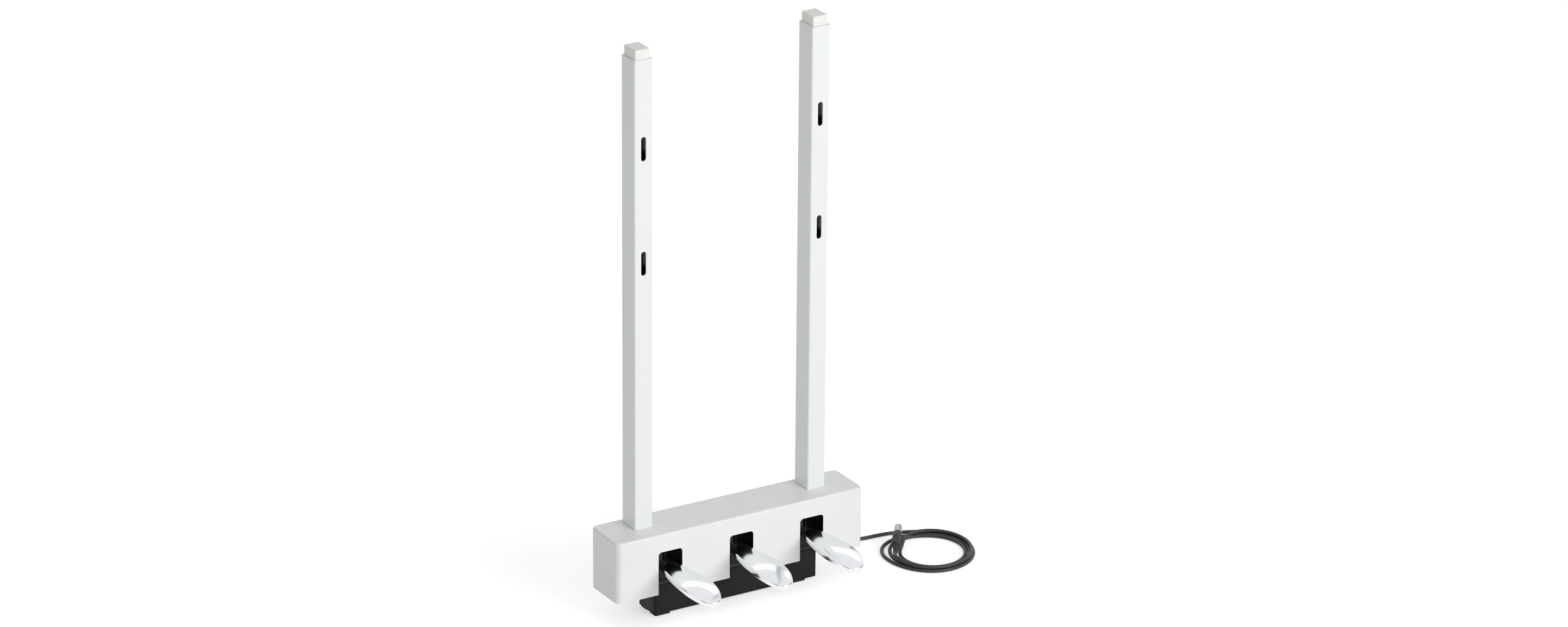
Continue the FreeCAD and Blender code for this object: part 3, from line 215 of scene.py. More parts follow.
def maths(material, operation, *values):
    """Result of a Math node on numbers or sockets."""
    made = node(material, "Math")
    made.operation = operation
    for place, value in zip(made.inputs, values):
        feed(material, place, value)
    return made.outputs["Value"]


def lay_over(material, mask, under, over):
    """Base colour that goes from one colour or socket to the other as the mask goes from
    0 to 1."""
    blend = material.node_tree.nodes.new("ShaderNodeMix")
    blend.data_type = "RGBA"
    feed(material, blend.inputs["A"], under)
    feed(material, blend.inputs["B"], over)
    feed(material, blend.inputs["Factor"], mask)
    feed(material, surface_of(material).inputs["Base Color"], blend.outputs["Result"])


def paint_shade(material, mask, colour):
    """Lays a plain colour over the base colour where the mask is 1, as painted shade."""
    present = surface_of(material).inputs["Base Color"].links[0].from_socket
    lay_over(material, mask, present, (*colour, 1))


def axes_of(material):
    """Object coordinates of the piece as three sockets."""
    split = node(material, "SeparateXYZ", Vector=place_of(material))
    return split.outputs["X"], split.outputs["Y"], split.outputs["Z"]


def shade(material, size, amount):
    """Lets the base colour drift by the given share of itself, over patches of the given size."""
    colour = surface_of(material).inputs["Base Color"].default_value[:3]
    darker = [c * (1 - amount) for c in colour]
    lighter = [min(1, c * (1 + amount)) for c in colour]
    mask = between(material, speckle(material, size, 4.0), 0, 1)
    lay_over(material, mask, (*darker, 1), (*lighter, 1))


def gloss(material, size, low, high):
    """Lets the roughness drift between two values, over patches of the given size."""
    mask = between(material, speckle(material, size, 5.0), low, high)
    feed(material, surface_of(material).inputs["Roughness"], mask)


def relief(material, *layers):
    """Bump layers, each (value, depth in metres), laid over one another."""
    last = None
    for value, depth in layers:
        bump = node(material, "Bump", Height=value, Distance=depth, Strength=1.0)
        if last is not None:
            feed(material, bump.inputs["Normal"], last)
        last = bump.outputs["Normal"]
    feed(material, surface_of(material).inputs["Normal"], last)


def moulding(name, colour, grain, roughness, drift=0.012):
    """Injection moulded plastic: fine spark grain, slow flow waves and uneven gloss."""
    made = shader(name, colour, roughness)
    shade(made, 0.05, drift)
    gloss(made, 0.02, roughness - 0.05, roughness + 0.06)
    relief(made, (speckle(made, 0.03, 2.0), 0.00008), (speckle(made, grain, 3.0), 0.00002))
    return made


def powder_coat(name, colour, grain, roughness, drift=0.01):
    """Powder coat: orange peel ripples with a fine tooth and uneven gloss."""
    made = shader(name, colour, roughness, Coat_Weight=0.15, Coat_Roughness=0.25)
    shade(made, 0.08, drift)
    gloss(made, 0.01, roughness - 0.04, roughness + 0.05)
    relief(made, (speckle(made, grain, 2.0), 0.00004), (speckle(made, grain / 5, 2.0), 0.000006))
    return made


def metal(name, colour, roughness, brushed=(1, 1, 1), depth=0.000002, drift=0.04):
    """Bare or plated metal: drawn or brushed lines, light stains and uneven gloss."""
    made = shader(name, colour, roughness, metallic=1.0)
    shade(made, 0.012, drift)
    gloss(made, 0.006, roughness * 0.7, roughness * 1.4)
    relief(made, (speckle(made, 0.0012, 4.0, brushed), depth))
    return made


def dress(material, *names, slot=None):
    """Puts one material on CAD nodes or new pieces."""
    for name in names:
        piece = bpy.data.objects[name]
        piece.data.materials.clear()
        piece.data.materials.append(material)


# ---------------------------------------------------------------- surface helpers
SHARP_ANGLE = math.radians(38)  # an edge that turns more than this is drawn sharp


def grid_mesh(name, rings, closed=False):
    """Closed skin over rings of points: an array of rings, points round a ring, and 3 coordinates.
    Neighbouring rings are joined by quads; the end rings are capped, or joined where closed."""
    count, around = rings.shape[:2]
    number = np.arange(count * around).reshape(count, around)
    rows = np.vstack([number, number[:1]]) if closed else number
    lower, upper = rows[:-1], rows[1:]
    quads = np.stack(
        [lower, np.roll(lower, -1, 1), np.roll(upper, -1, 1), upper], axis=-1
    ).reshape(-1, 4)
    faces = quads.tolist()
    if not closed:
        faces += [number[0].tolist()[::-1], number[-1].tolist()]
    mesh = bpy.data.meshes.new(name)
    mesh.from_pydata(rings.reshape(-1, 3).tolist(), [], faces)
    work = bmesh.new()
    work.from_mesh(mesh)
    bmesh.ops.recalc_face_normals(work, faces=work.faces)
    work.to_mesh(mesh)
    work.free()
    mesh.shade_smooth()
    mesh.set_sharp_from_angle(angle=SHARP_ANGLE)
    piece = bpy.data.objects.new(name, mesh)
    bpy.context.scene.collection.objects.link(piece)
    return piece


def turned(name, start, direction, profile, around=64, shape=None, closed=False):
    """Round piece turned about a line: each profile row is (distance along, radius).
    A point is start + along * direction + radius * (cos angle, sin angle) across, and shape may
    scale the radius by its place along and its angle."""
    axis = Vector(direction).normalized()
    side = axis.cross(Vector((0, 0, 1))).normalized()
    top = side.cross(axis)
    rows = np.array(profile, float)
    angle = np.linspace(0, 2 * math.pi, around, endpoint=False)
    radius = np.repeat(rows[:, 1:2], around, 1)
    if shape is not None:
        radius = radius * shape(rows[:, 0:1], angle[None, :])
    across = np.cos(angle)[:, None] * np.array(side) + np.sin(angle)[:, None] * np.array(top)
    rings = np.array(start) + rows[:, 0, None, None] * np.array(axis) + radius[..., None] * across
    return grid_mesh(name, rings, closed)


def ribbed(start, stop, low, high, ribs, depth):
    """Profile rows from start to stop, radius from low to high, with square grooves between
    the ribs, whose walls lean by twice the ease."""
    ease = 0.00012
    edges = np.linspace(start, stop, 2 * ribs)
    rows = []
    for index in range(2 * ribs - 1):
        a, b = edges[index], edges[index + 1]
        drop = depth if index % 2 else 0.0
        for at in (a + ease, b - ease):
            share = (at - start) / (stop - start)
            rows.append((at, low + (high - low) * share - drop))
    return rows


# ---------------------------------------------------------------- cord, boot and plug
# Control points of the run from the boot to the coil.
CORD_RUN = [
    (0.0600, 0.0930, 0.0520),
    (0.0600, 0.1135, 0.0520),
    (0.0730, 0.1290, 0.0460),
    (0.0930, 0.1345, 0.0355),
    (0.1130, 0.1300, 0.0215),
    (0.1320, 0.1180, 0.0095),
    (0.1530, 0.1045, 0.0030),
    (0.1760, 0.0936, 0.0024),
    (0.1990, 0.0878, 0.0023),
    (0.2150, 0.0874, 0.0023),
    (0.2295, 0.0858, 0.0023),
    (0.2435, 0.0822, 0.0023),
]
COIL_CENTRE = (0.24624, 0.02073)
# How the turns lie: degrees turned clockwise from the back of the coil, millimetres outside the
# inmost turn, and height of the middle of the cord in millimetres. The first turn lies outside
# and strays at the left, the next two lie inside it, and the last lies on top and ends in the
# plug.
COIL_LAY = [
    (0, 13.0, 2.15), (20, 10.8, 2.15), (45, 9.0, 2.15), (90, 8.7, 2.15), (135, 9.3, 2.15),
    (180, 10.9, 2.15), (215, 12.4, 2.15), (240, 15.4, 2.15), (260, 18.4, 2.15), (274, 19.4, 2.15),
    (287, 17.8, 2.15), (300, 14.6, 2.15), (312, 12.7, 2.15), (326, 9.7, 2.15), (345, 6.7, 2.15),
    (362, 5.2, 2.15), (405, 4.6, 2.15), (450, 4.4, 2.15), (540, 5.2, 2.15), (575, 6.6, 2.15),
    (600, 8.6, 2.15), (634, 9.8, 2.15), (660, 9.2, 2.15), (672, 8.0, 2.15), (686, 5.2, 2.15),
    (705, 2.1, 2.15), (722, 0.7, 2.15), (765, 0.1, 2.15), (810, 0.0, 2.15),
    (900, 0.1, 2.15), (950, -0.1, 2.15), (975, -0.6, 2.15), (992, -2.4, 2.15), (1004, -3.2, 2.6),
    (1014, -2.2, 4.6), (1026, 0.6, 6.2), (1040, 3.6, 6.5), (1056, 6.0, 6.3), (1078, 6.8, 6.1),
    (1110, 6.5, 5.95), (1170, 6.5, 5.95), (1220, 7.6, 5.95), (1250, 9.0, 6.0), (1270, 10.2, 6.3),
    (1288, 11.2, 6.8),
]
PLUG_START = Vector((0.2008, 0.0244, 0.0092))
PLUG_TURN, PLUG_TILT = math.radians(54.5), math.radians(6.0)
PLUG_LINE = Vector((
    math.cos(PLUG_TURN) * math.cos(PLUG_TILT),
    math.sin(PLUG_TURN) * math.cos(PLUG_TILT),
    math.sin(PLUG_TILT),
))
CORD_ENDS = (-0.009, 0.001, 0.003)  # last control points, along the plug's line from its start

# Profiles, as (distance along, radius) in metres.
GLAND_PROFILE = [  # flange inside, neck through the cover, collar outside
    (0, 0.0048), (0.0003, 0.0054), (0.0013, 0.0054), (0.0015, 0.0039), (0.003, 0.0039),
    (0.0031, 0.0062), (0.0035, 0.0065), (0.0045, 0.0065), (0.005, 0.0060), (0.0053, 0.0048),
]
RELIEF_START = [(0, 0.0021), (0.0002, 0.0024)]
SHOULDER = [(0.0166, 0.0036), (0.0170, 0.0042), (0.0173, 0.0048), (0.0179, 0.0052)]
NOSE = [(0.0420, 0.0051), (0.0427, 0.0048), (0.0430, 0.0044), (0.0431, 0.0036), (0.0465, 0.0036)]
GRIP_START, GRIP_STOP, GRIP_RADIUS = 0.0188, 0.0405, 0.0053
RING_COUNT, RING_START, RING_PITCH = 6, 0.0215, 0.0022
RING_GROOVE = [(0, 0), (0.0003, 0.0004), (0.0009, 0.0004), (0.0012, 0)]  # (along, depth)
# The flats above and below the grip: where they lie, the run-in at each end, and the share of the
# radius that they take off.
FLAT_START, FLAT_STOP, FLAT_RUN, FLAT_DEPTH = 0.019, 0.0415, 0.002, 0.075
SLEEVE_OUTER, SLEEVE_INNER = 0.0044, 0.0038
SLEEVE_WALL = [  # (along, how far both skins draw together towards the open end)
    (0.0431, 0), (0.0440, 0), (0.0500, 0), (0.0560, 0), (0.0567, 0.00005), (0.0570, 0.0002),
]
# The sleeve's pressed keyways: angles, half width in radians, share of the radius, start, run-in.
KEY_ANGLES, KEY_WIDTH, KEY_DEPTH = (math.pi / 2, -2.5, -0.64), 0.13, 0.10
KEY_START, KEY_RUN = 0.0445, 0.003


def coil_points(cord):
    """Points round the coil: an oval spiral whose distance out and height follow the lay."""
    lay = np.array(COIL_LAY, float)
    steps = round((lay[-1, 0] - lay[0, 0]) / 360 * cord.points_per_turn)
    back = Vector((-math.sin(cord.coil_turn), math.cos(cord.coil_turn)))
    right = Vector((math.cos(cord.coil_turn), math.sin(cord.coil_turn)))
    points = []
    for step in range(steps + 1):
        turned_by = lay[0, 0] + (lay[-1, 0] - lay[0, 0]) * step / steps
        out, height = (np.interp(turned_by, lay[:, 0], lay[:, n]) / 1000 for n in (1, 2))
        angle = math.radians(turned_by)
        flat = (
            Vector(COIL_CENTRE)
            + right * (cord.coil_across + out) * math.sin(angle)
            + back * (cord.coil_along + out) * math.cos(angle)
        )
        points.append((flat.x, flat.y, height))
    return points


class PEDALUNIT_OT_cord(bpy.types.Operator):
    """Cord from the boot, down to the floor and round its coil, as one smooth spline"""

    bl_idname = "pedal_unit.cord"
    bl_label = "Cord"

    def execute(self, context):
        cord, finish = context.scene.pedal_unit_cord, context.scene.pedal_unit_finishes
        ends = [tuple(PLUG_START + PLUG_LINE * along) for along in CORD_ENDS]
        points = CORD_RUN + coil_points(cord) + ends
        curve = bpy.data.curves.new("pedal_cord", "CURVE")
        curve.dimensions = "3D"
        spline = curve.splines.new("NURBS")
        spline.points.add(len(points) - 1)
        spline.points.foreach_set("co", np.column_stack([points, np.ones(len(points))]).ravel())
        spline.order_u = 3
        spline.use_endpoint_u = True
        curve.resolution_u = 6
        curve.render_resolution_u = 6
        curve.bevel_depth = cord.diameter / 2
        curve.bevel_resolution = 5
        curve.use_fill_caps = True
        piece = bpy.data.objects.new("pedal_cord", curve)
        context.scene.collection.objects.link(piece)
        sheath = shader("soft_sheath", finish.sheath, 0.42, Specular_IOR_Level=0.5)
        shade(sheath, 0.02, 0.12)
        gloss(sheath, 0.004, 0.34, 0.52)
        relief(sheath, (speckle(sheath, 0.006, 2.0), 0.00006),
               (speckle(sheath, 0.0004, 3.0), 0.00001))
        dress(sheath, "pedal_cord", slot="cord_sheath")
        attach(piece, "base")
        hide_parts("cord", "cord_coil")
        dress(sheath, "inner_lead")
        return {"FINISHED"}


class PEDALUNIT_OT_boot(bpy.types.Operator):
    """Rubber gland in the rear cover, with its ribbed, tapered boot"""

    bl_idname = "pedal_unit.boot"
    bl_label = "Cord boot"

    def execute(self, context):
        low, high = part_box("cord_gland")
        start = (CORD_RUN[0][0], low.y, CORD_RUN[0][2])
        reach = high.y - low.y
        ribs = ribbed(0.0058, reach - 0.0012, low=0.0047, high=0.0031, ribs=6, depth=0.0006)
        mouth = [(reach - 0.0008, 0.0030), (reach - 0.0002, 0.0028), (reach, 0.0025)]
        piece = turned("cord_boot", start, (0, 1, 0), GLAND_PROFILE + ribs + mouth)
        rubber = context.scene.pedal_unit_finishes.rubber
        material = moulding("boot_rubber", rubber, 0.0004, roughness=0.62, drift=0.1)
        dress(material, "cord_boot", slot="black_rubber")
        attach(piece, "base")
        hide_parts("cord_gland")
        return {"FINISHED"}


class PEDALUNIT_OT_plug(bpy.types.Operator):
    """Round multi-pin plug: ribbed relief, grip with flats and rings, keyed metal sleeve"""

    bl_idname = "pedal_unit.plug"
    bl_label = "Plug"

    def execute(self, context):
        finish = context.scene.pedal_unit_finishes
        relief_ribs = ribbed(0.0006, 0.0162, low=0.0025, high=0.0035, ribs=7, depth=0.0006)
        profile = RELIEF_START + relief_ribs + SHOULDER + [(GRIP_START, GRIP_RADIUS)]
        for ring in range(RING_COUNT):
            at = RING_START + ring * RING_PITCH
            profile += [(at + along, GRIP_RADIUS - depth) for along, depth in RING_GROOVE]
        profile += [(GRIP_STOP, GRIP_RADIUS)] + NOSE

        def flats(along, angle):
            """Radius shrunk where it faces up and down, only along the grip."""
            near = np.clip((along - FLAT_START) / FLAT_RUN, 0, 1)
            far = np.clip((FLAT_STOP - along) / FLAT_RUN, 0, 1)
            return 1 - FLAT_DEPTH * near * far * np.abs(np.sin(angle)) ** 6

        grip = turned("plug_grip", PLUG_START, PLUG_LINE, profile, 96, flats)
        black = moulding("plug_moulding", finish.base, 0.0005, roughness=0.46, drift=0.1)
        dress(black, "plug_grip", slot="black_plastic")
        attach(grip, "base")
        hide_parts("plug_body")

        skin = [(along, SLEEVE_OUTER - drawn) for along, drawn in SLEEVE_WALL]
        skin += [(along, SLEEVE_INNER + drawn) for along, drawn in reversed(SLEEVE_WALL)]

        def keys(along, angle):
            """Radius shrunk at the pressed keyways, deepest at the open end."""
            aside = [(angle - key + math.pi) % (2 * math.pi) - math.pi for key in KEY_ANGLES]
            dent = sum(np.exp(-((turn / KEY_WIDTH) ** 2)) for turn in aside)
            return 1 - KEY_DEPTH * dent * np.clip((along - KEY_START) / KEY_RUN, 0, 1)

        sleeve = turned("plug_sleeve", PLUG_START, PLUG_LINE, skin, 120, keys, closed=True)
        dress(metal("plug_nickel", finish.nickel, roughness=0.2), "plug_sleeve", slot="nickel")
        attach(sleeve, "base")
        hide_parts("plug_shell")
        dress(metal("contact_brass", finish.brass, roughness=0.22), "plug_contacts")
        return {"FINISHED"}


# ---------------------------------------------------------------- housing, uprights and base
# Each pair is where painted shade starts and stops to fade, in metres. Painted shade darkens
# the wall's thickness round a pedal opening: aside from a pedal's middle, behind and before the
# wall's two faces, and under the opening's top. Painted shade also darkens the bore of a tube:
# across and along from its middle.
LIP_ASIDE, LIP_BEHIND = (0.0152, 0.0154), (0.0179, 0.0181)
LIP_BEFORE, LIP_UNDER = (0.0210, 0.0212), (0.0808, 0.0810)
BORE_ACROSS, BORE_ALONG = (0.0096, 0.0098), (0.0126, 0.0128)


class PEDALUNIT_OT_housing(bpy.types.Operator):
    """White moulded box, with painted shade on the reveals of the pedal openings, and its rear
    cover
    """

    bl_idname = "pedal_unit.housing"
    bl_label = "Housing"

    def execute(self, context):
        finish = context.scene.pedal_unit_finishes
        white, lip_shaded = (moulding(name, finish.housing, finish.moulded_grain, roughness=0.40)
                         for name in ("white_moulding", "white_moulding_lipped"))
        dress(white, "rear_cover")
        x, y, z = axes_of(lip_shaded)
        pitch = middle_of("pedal_right").x
        aside = between(lip_shaded, maths(lip_shaded, "PINGPONG", x, pitch / 2), 1, 0, *LIP_ASIDE)
        behind = between(lip_shaded, y, 0, 1, *LIP_BEHIND)
        before = between(lip_shaded, y, 1, 0, *LIP_BEFORE)
        under = between(lip_shaded, z, 1, 0, *LIP_UNDER)
        lip = maths(lip_shaded, "MULTIPLY", maths(lip_shaded, "MULTIPLY", aside, behind),
                    maths(lip_shaded, "MULTIPLY", before, under))
        # Painted shade: the chassis black is laid on the reveals of the pedal openings, where
        # shadow falls.
        paint_shade(lip_shaded, lip, finish.chassis)
        dress(lip_shaded, "pedal_box")
        return {"FINISHED"}


class PEDALUNIT_OT_uprights(bpy.types.Operator):
    """Powder coated tubes, with painted shade inside their bores, and their caps"""

    bl_idname = "pedal_unit.uprights"
    bl_label = "Uprights"

    def execute(self, context):
        finish = context.scene.pedal_unit_finishes
        coat = powder_coat("white_powder_coat", finish.paint, finish.paint_grain, roughness=0.32)
        x, y, _ = axes_of(coat)
        place = middle_of("upright_right")
        from_middle = maths(coat, "SUBTRACT", maths(coat, "ABSOLUTE", x), place.x)
        across = maths(coat, "ABSOLUTE", from_middle)
        along = maths(coat, "ABSOLUTE", maths(coat, "SUBTRACT", y, place.y))
        inside = maths(coat, "MULTIPLY", between(coat, across, 1, 0, *BORE_ACROSS),
                       between(coat, along, 1, 0, *BORE_ALONG))
        # Painted shade: near black laid inside the tube bores, where shadow falls.
        paint_shade(coat, inside, finish.bore_shade)
        dress(coat, "upright_left", "upright_right")
        warm = moulding("warm_moulding", finish.cap, finish.moulded_grain, roughness=0.36)
        dress(warm, "cap_left", "cap_right")
        return {"FINISHED"}


class PEDALUNIT_OT_base(bpy.types.Operator):
    """Black base block, its rubber feet and the rubber stops under the pedals"""

    bl_idname = "pedal_unit.base"
    bl_label = "Base"

    def execute(self, context):
        finish = context.scene.pedal_unit_finishes
        block = moulding("black_moulding", finish.base, finish.moulded_grain, roughness=0.45,
                         drift=0.12)
        surface_of(block).inputs["Specular IOR Level"].default_value = 0.15
        dress(block, "floor_base")
        rubber = moulding("foot_rubber", finish.rubber, 0.0008, roughness=0.78, drift=0.15)
        feet = [row + side for row in ("foot_front_", "foot_back_") for side in ("left", "right")]
        dress(rubber, *feet, *["down_stop_" + side for side in SIDES])
        return {"FINISHED"}


# ---------------------------------------------------------------- pedals and what carries them
# Top of a pedal at rest, in metres: places along Y, half widths, radii and its level.
PADDLE = {
    "tip": -0.0761,  # foremost point
    "toe": 0.0096,  # radius of the toe
    "widest": -0.0415,  # place of the widest point
    "half": 0.0161,  # half width there
    "front": 0.0175,  # place where the neck becomes a straight taper
    "neck": 0.0079,  # half width there
    "end": 0.0305,  # back end of the crown
    "lever": 0.0040,  # half width there
    "top": 0.0635,  # above the floor
    "bend": -0.0325,  # place where the top starts to droop
    "droop": 0.1793,  # radius of the droop
}
CROWN_ROWS, CROWN_COLUMNS = 72, 33
CROWN_INSET = 0.00004  # the first row of a crown behind the tip
CROWN_SUNK, CROWN_UNDER = 0.00012, 0.0012  # its edge and its underside below the pedal's top
CROWN_REAR, CROWN_NOSE = 0.012, 0.03  # lengths over which it rises from its two ends


def paddle_half(y):
    """Half width of a pedal's crown at y: a toe arc, a side arc, a neck arc and a straight
    taper."""
    p = PADDLE
    reach, swell, length = p["widest"] - p["tip"], p["half"] - p["neck"], p["front"] - p["widest"]
    side = (p["half"] ** 2 + reach ** 2 - 2 * reach * p["toe"]) / (2 * (p["half"] - p["toe"]))
    neck = (length ** 2 + swell ** 2) / (2 * swell)
    centre = p["tip"] + p["toe"]
    joint = centre - p["toe"] / (side - p["toe"]) * (reach - p["toe"])
    toe = np.sqrt(np.clip(p["toe"] ** 2 - (y - centre) ** 2, 0, None))
    flank = p["half"] - side + np.sqrt(np.clip(side ** 2 - (y - p["widest"]) ** 2, 0, None))
    throat = p["half"] - neck + np.sqrt(np.clip(neck ** 2 - (y - p["widest"]) ** 2, 0, None))
    taper = np.interp(y, [p["front"], p["end"]], [p["neck"], p["lever"]])
    return np.select([y < joint, y < p["widest"], y < p["front"]], [toe, flank, throat], taper)


def paddle_crown(side, height):
    """Crowned skin on a pedal: at share u of the half width, from -1 to 1, the top stands
    height * fade(y) * (1 - u ** 2) over the pedal's bent centre line."""
    p = PADDLE
    spread = (1 - np.cos(np.linspace(0, math.pi, CROWN_ROWS))) / 2
    y = p["tip"] + CROWN_INSET + (p["end"] - p["tip"] - CROWN_INSET) * spread
    drop = p["droop"] - np.sqrt(p["droop"] ** 2 - np.clip(p["bend"] - y, 0, None) ** 2)
    level = p["top"] - drop
    rear = np.clip((p["end"] - y) / CROWN_REAR, 0, 1)
    fade = rear * np.clip((y - p["tip"]) / CROWN_NOSE, 0, 1) ** 0.5
    share = np.sin(np.linspace(-math.pi / 2, math.pi / 2, CROWN_COLUMNS))
    below = CROWN_COLUMNS - 2
    across = np.concatenate([share, share[-2:0:-1]])
    lift = np.concatenate([1 - share ** 2, np.zeros(below)])
    sunk = np.concatenate([np.full(CROWN_COLUMNS, CROWN_SUNK), np.full(below, CROWN_UNDER)])
    rings = np.empty((CROWN_ROWS, len(across), 3))
    rings[..., 0] = middle_of("pedal_" + side).x + paddle_half(y)[:, None] * across
    rings[..., 1] = y[:, None]
    rings[..., 2] = level[:, None] + height * fade[:, None] * lift - sunk
    return grid_mesh("pedal_crown_" + side, rings)


class PEDALUNIT_OT_pedals(bpy.types.Operator):
    """Chrome pedals and their crowned tops, with faint polishing lines and handling haze"""

    bl_idname = "pedal_unit.pedals"
    bl_label = "Pedals"

    def execute(self, context):
        finish = context.scene.pedal_unit_finishes
        chrome = shader("pedal_chrome", finish.chrome, roughness=0.14, metallic=1.0)
        shade(chrome, 0.03, 0.02)
        gloss(chrome, 0.02, 0.11, 0.19)
        relief(chrome, (speckle(chrome, 0.02, 2.0), 0.00002),
               (speckle(chrome, 0.002, 3.0, (1, 0.06, 1)), 0.0000006))
        for side in SIDES:
            crown = paddle_crown(side, finish.crown)
            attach(crown, "pedal_%s_body" % side)
            dress(chrome, "pedal_" + side)
            dress(chrome, crown.name, slot="chrome")
        return {"FINISHED"}


class PEDALUNIT_OT_bearings(bpy.types.Operator):
    """Chassis, brackets, pins, bushes, felt stops and springs inside the box, and the blocks
    in the feet of the uprights"""

    bl_idname = "pedal_unit.bearings"
    bl_label = "Bearings"

    def execute(self, context):
        finish = context.scene.pedal_unit_finishes
        black = powder_coat("black_powder_coat", finish.chassis, finish.paint_grain,
                            roughness=0.5, drift=0.1)
        dress(black, "chassis", *["pedal_bracket_" + side for side in SIDES])
        plated = metal("zinc_steel", finish.steel, roughness=0.28, brushed=(1, 1, 0.1))
        names = ["upright_block_left", "upright_block_right", "pin_clips"]
        names += [kind + side for kind in ("pivot_pin_", "return_spring_") for side in SIDES]
        dress(plated, *names)
        nylon = moulding("natural_nylon", finish.nylon, 0.0004, roughness=0.5, drift=0.03)
        dress(nylon, *["pedal_bushes_" + side for side in SIDES])
        felt = shader("stop_felt", finish.felt, roughness=0.95, Sheen_Weight=0.5,
                      Sheen_Roughness=0.6)
        shade(felt, 0.0015, 0.35)
        relief(felt, (speckle(felt, 0.0006, 6.0, (1, 0.3, 1)), 0.00025))
        dress(felt, *["up_stop_" + side for side in SIDES])
        return {"FINISHED"}


class PEDALUNIT_OT_electrics(bpy.types.Operator):
    """Sensor board, its spacers and connector, and the magnets on the pedals"""

    bl_idname = "pedal_unit.electrics"
    bl_label = "Electrics"

    def execute(self, context):
        finish = context.scene.pedal_unit_finishes
        board = shader("solder_mask", finish.board, roughness=0.3, Coat_Weight=0.4,
                       Coat_Roughness=0.15)
        darker = [c * 0.85 for c in finish.board]
        lighter = [min(1, c * 2.2) for c in finish.board]
        tracks = node(board, "TexBrick", Vector=place_of(board), Scale=60.0, Mortar_Size=0.035,
                      Color1=(*finish.board, 1), Color2=(*darker, 1), Mortar=(*lighter, 1))
        feed(board, surface_of(board).inputs["Base Color"], tracks.outputs["Color"])
        relief(board, (tracks.outputs["Fac"], 0.00003))
        dress(board, "sensor_board")
        nylon = moulding("white_nylon", finish.nylon, 0.0004, roughness=0.45, drift=0.03)
        dress(nylon, "board_spacers", "board_connector")
        epoxy = moulding("chip_epoxy", finish.base, 0.0002, roughness=0.5, drift=0.1)
        dress(epoxy, "pedal_sensors")
        magnet = metal("magnet_nickel", finish.nickel, roughness=0.18)
        dress(magnet, *["sensor_magnet_" + side for side in SIDES])
        return {"FINISHED"}


class PEDALUNIT_OT_fasteners(bpy.types.Operator):
    """Screws, bolts and rivets"""

    bl_idname = "pedal_unit.fasteners"
    bl_label = "Fasteners"

    def execute(self, context):
        finish = context.scene.pedal_unit_finishes
        zinc = metal("screw_zinc", finish.steel, roughness=0.3, brushed=(1, 0.2, 1),
                     depth=0.000004)
        dress(zinc, "rear_cover_screws", "base_screws", "box_screws", "board_screws",
              "upright_bolts", "upright_screws", "bracket_rivets")
        return {"FINISHED"}


# ---------------------------------------------------------------- studio
LIGHT_TARGET = (0, 0, 0.2)
KEY_PLACE, KEY_SIZE = (1.1, -4.2, 1.9), (2.6, 2.0)
CARD_PLACE, CARD_SIZE = (2.2, 4.0, 2.4), (4.5, 2.6)
CAMERA_PLACE = (-2.9897, -4.9884, 2.6888)
CAMERA_TURN, CAMERA_RISE, CAMERA_ROLL = (math.radians(a) for a in (31.274, 21.974, 0.516))
# The tent that shiny pieces mirror has dark gaps low down, spread evenly round it: how many, the
# cosines and the heights between which a gap fades, and its brightness as a share of the tent's.
GAP_COUNT, GAP_SIDES, GAP_TOP, GAP_SHARE = 5.0, (-0.4, 0.3), (0.25, 0.45), 0.1


def area_light(name, place, size, power):
    """Soft rectangular light, aimed at the unit."""
    light = bpy.data.lights.new(name, "AREA")
    light.shape = "RECTANGLE"
    light.size, light.size_y = size
    light.energy = power
    lamp = bpy.data.objects.new(name, light)
    lamp.location = place
    aim = Vector(LIGHT_TARGET) - Vector(place)
    lamp.rotation_euler = aim.to_track_quat("-Z", "Y").to_euler()
    bpy.context.scene.collection.objects.link(lamp)


def paper_floor(studio):
    """Pale floor that glows for every ray but a diffuse one, so that it casts no light."""
    half = studio.floor_size / 2
    corners = [(-half, -half, 0), (half, -half, 0), (half, half, 0), (-half, half, 0)]
    mesh = bpy.data.meshes.new("studio_floor")
    mesh.from_pydata(corners, [], [(0, 1, 2, 3)])
    floor = bpy.data.objects.new("studio_floor", mesh)
    bpy.context.scene.collection.objects.link(floor)
    paper = shader("studio_paper", studio.floor_colour, roughness=0.9,
                   Emission_Color=(1, 1, 1, 1), Specular_IOR_Level=0.1)
    shade(paper, 0.4, 0.006)
    diffuse = node(paper, "LightPath").outputs["Is Diffuse Ray"]
    glow = between(paper, diffuse, studio.floor_lift, 0, 0, 1)
    feed(paper, surface_of(paper).inputs["Emission Strength"], glow)
    mesh.materials.append(paper)


def surround(studio):
    """Even light from all round, with the tent in its place for glossy rays."""
    world = bpy.data.worlds.new("studio_surround")
    world.use_nodes = True
    background = world.node_tree.nodes["Background"]
    background.inputs["Color"].default_value = (1, 1, 1, 1)
    look = node(world, "SeparateXYZ", Vector=node(world, "TexCoord").outputs["Generated"])
    azimuth = maths(world, "ARCTAN2", look.outputs["X"], look.outputs["Y"])
    waves = maths(world, "COSINE", maths(world, "MULTIPLY", azimuth, GAP_COUNT))
    sides = between(world, waves, 0, 1, *GAP_SIDES)
    above = between(world, look.outputs["Z"], 0, 1, *GAP_TOP)
    tent = between(world, maths(world, "MAXIMUM", sides, above),
                   GAP_SHARE * studio.tent, studio.tent, 0, 1)
    mirrored = node(world, "LightPath").outputs["Is Glossy Ray"]
    strength = between(world, mirrored, studio.world, tent, 0, 1)
    feed(world, background.inputs["Strength"], strength)
    bpy.context.scene.world = world


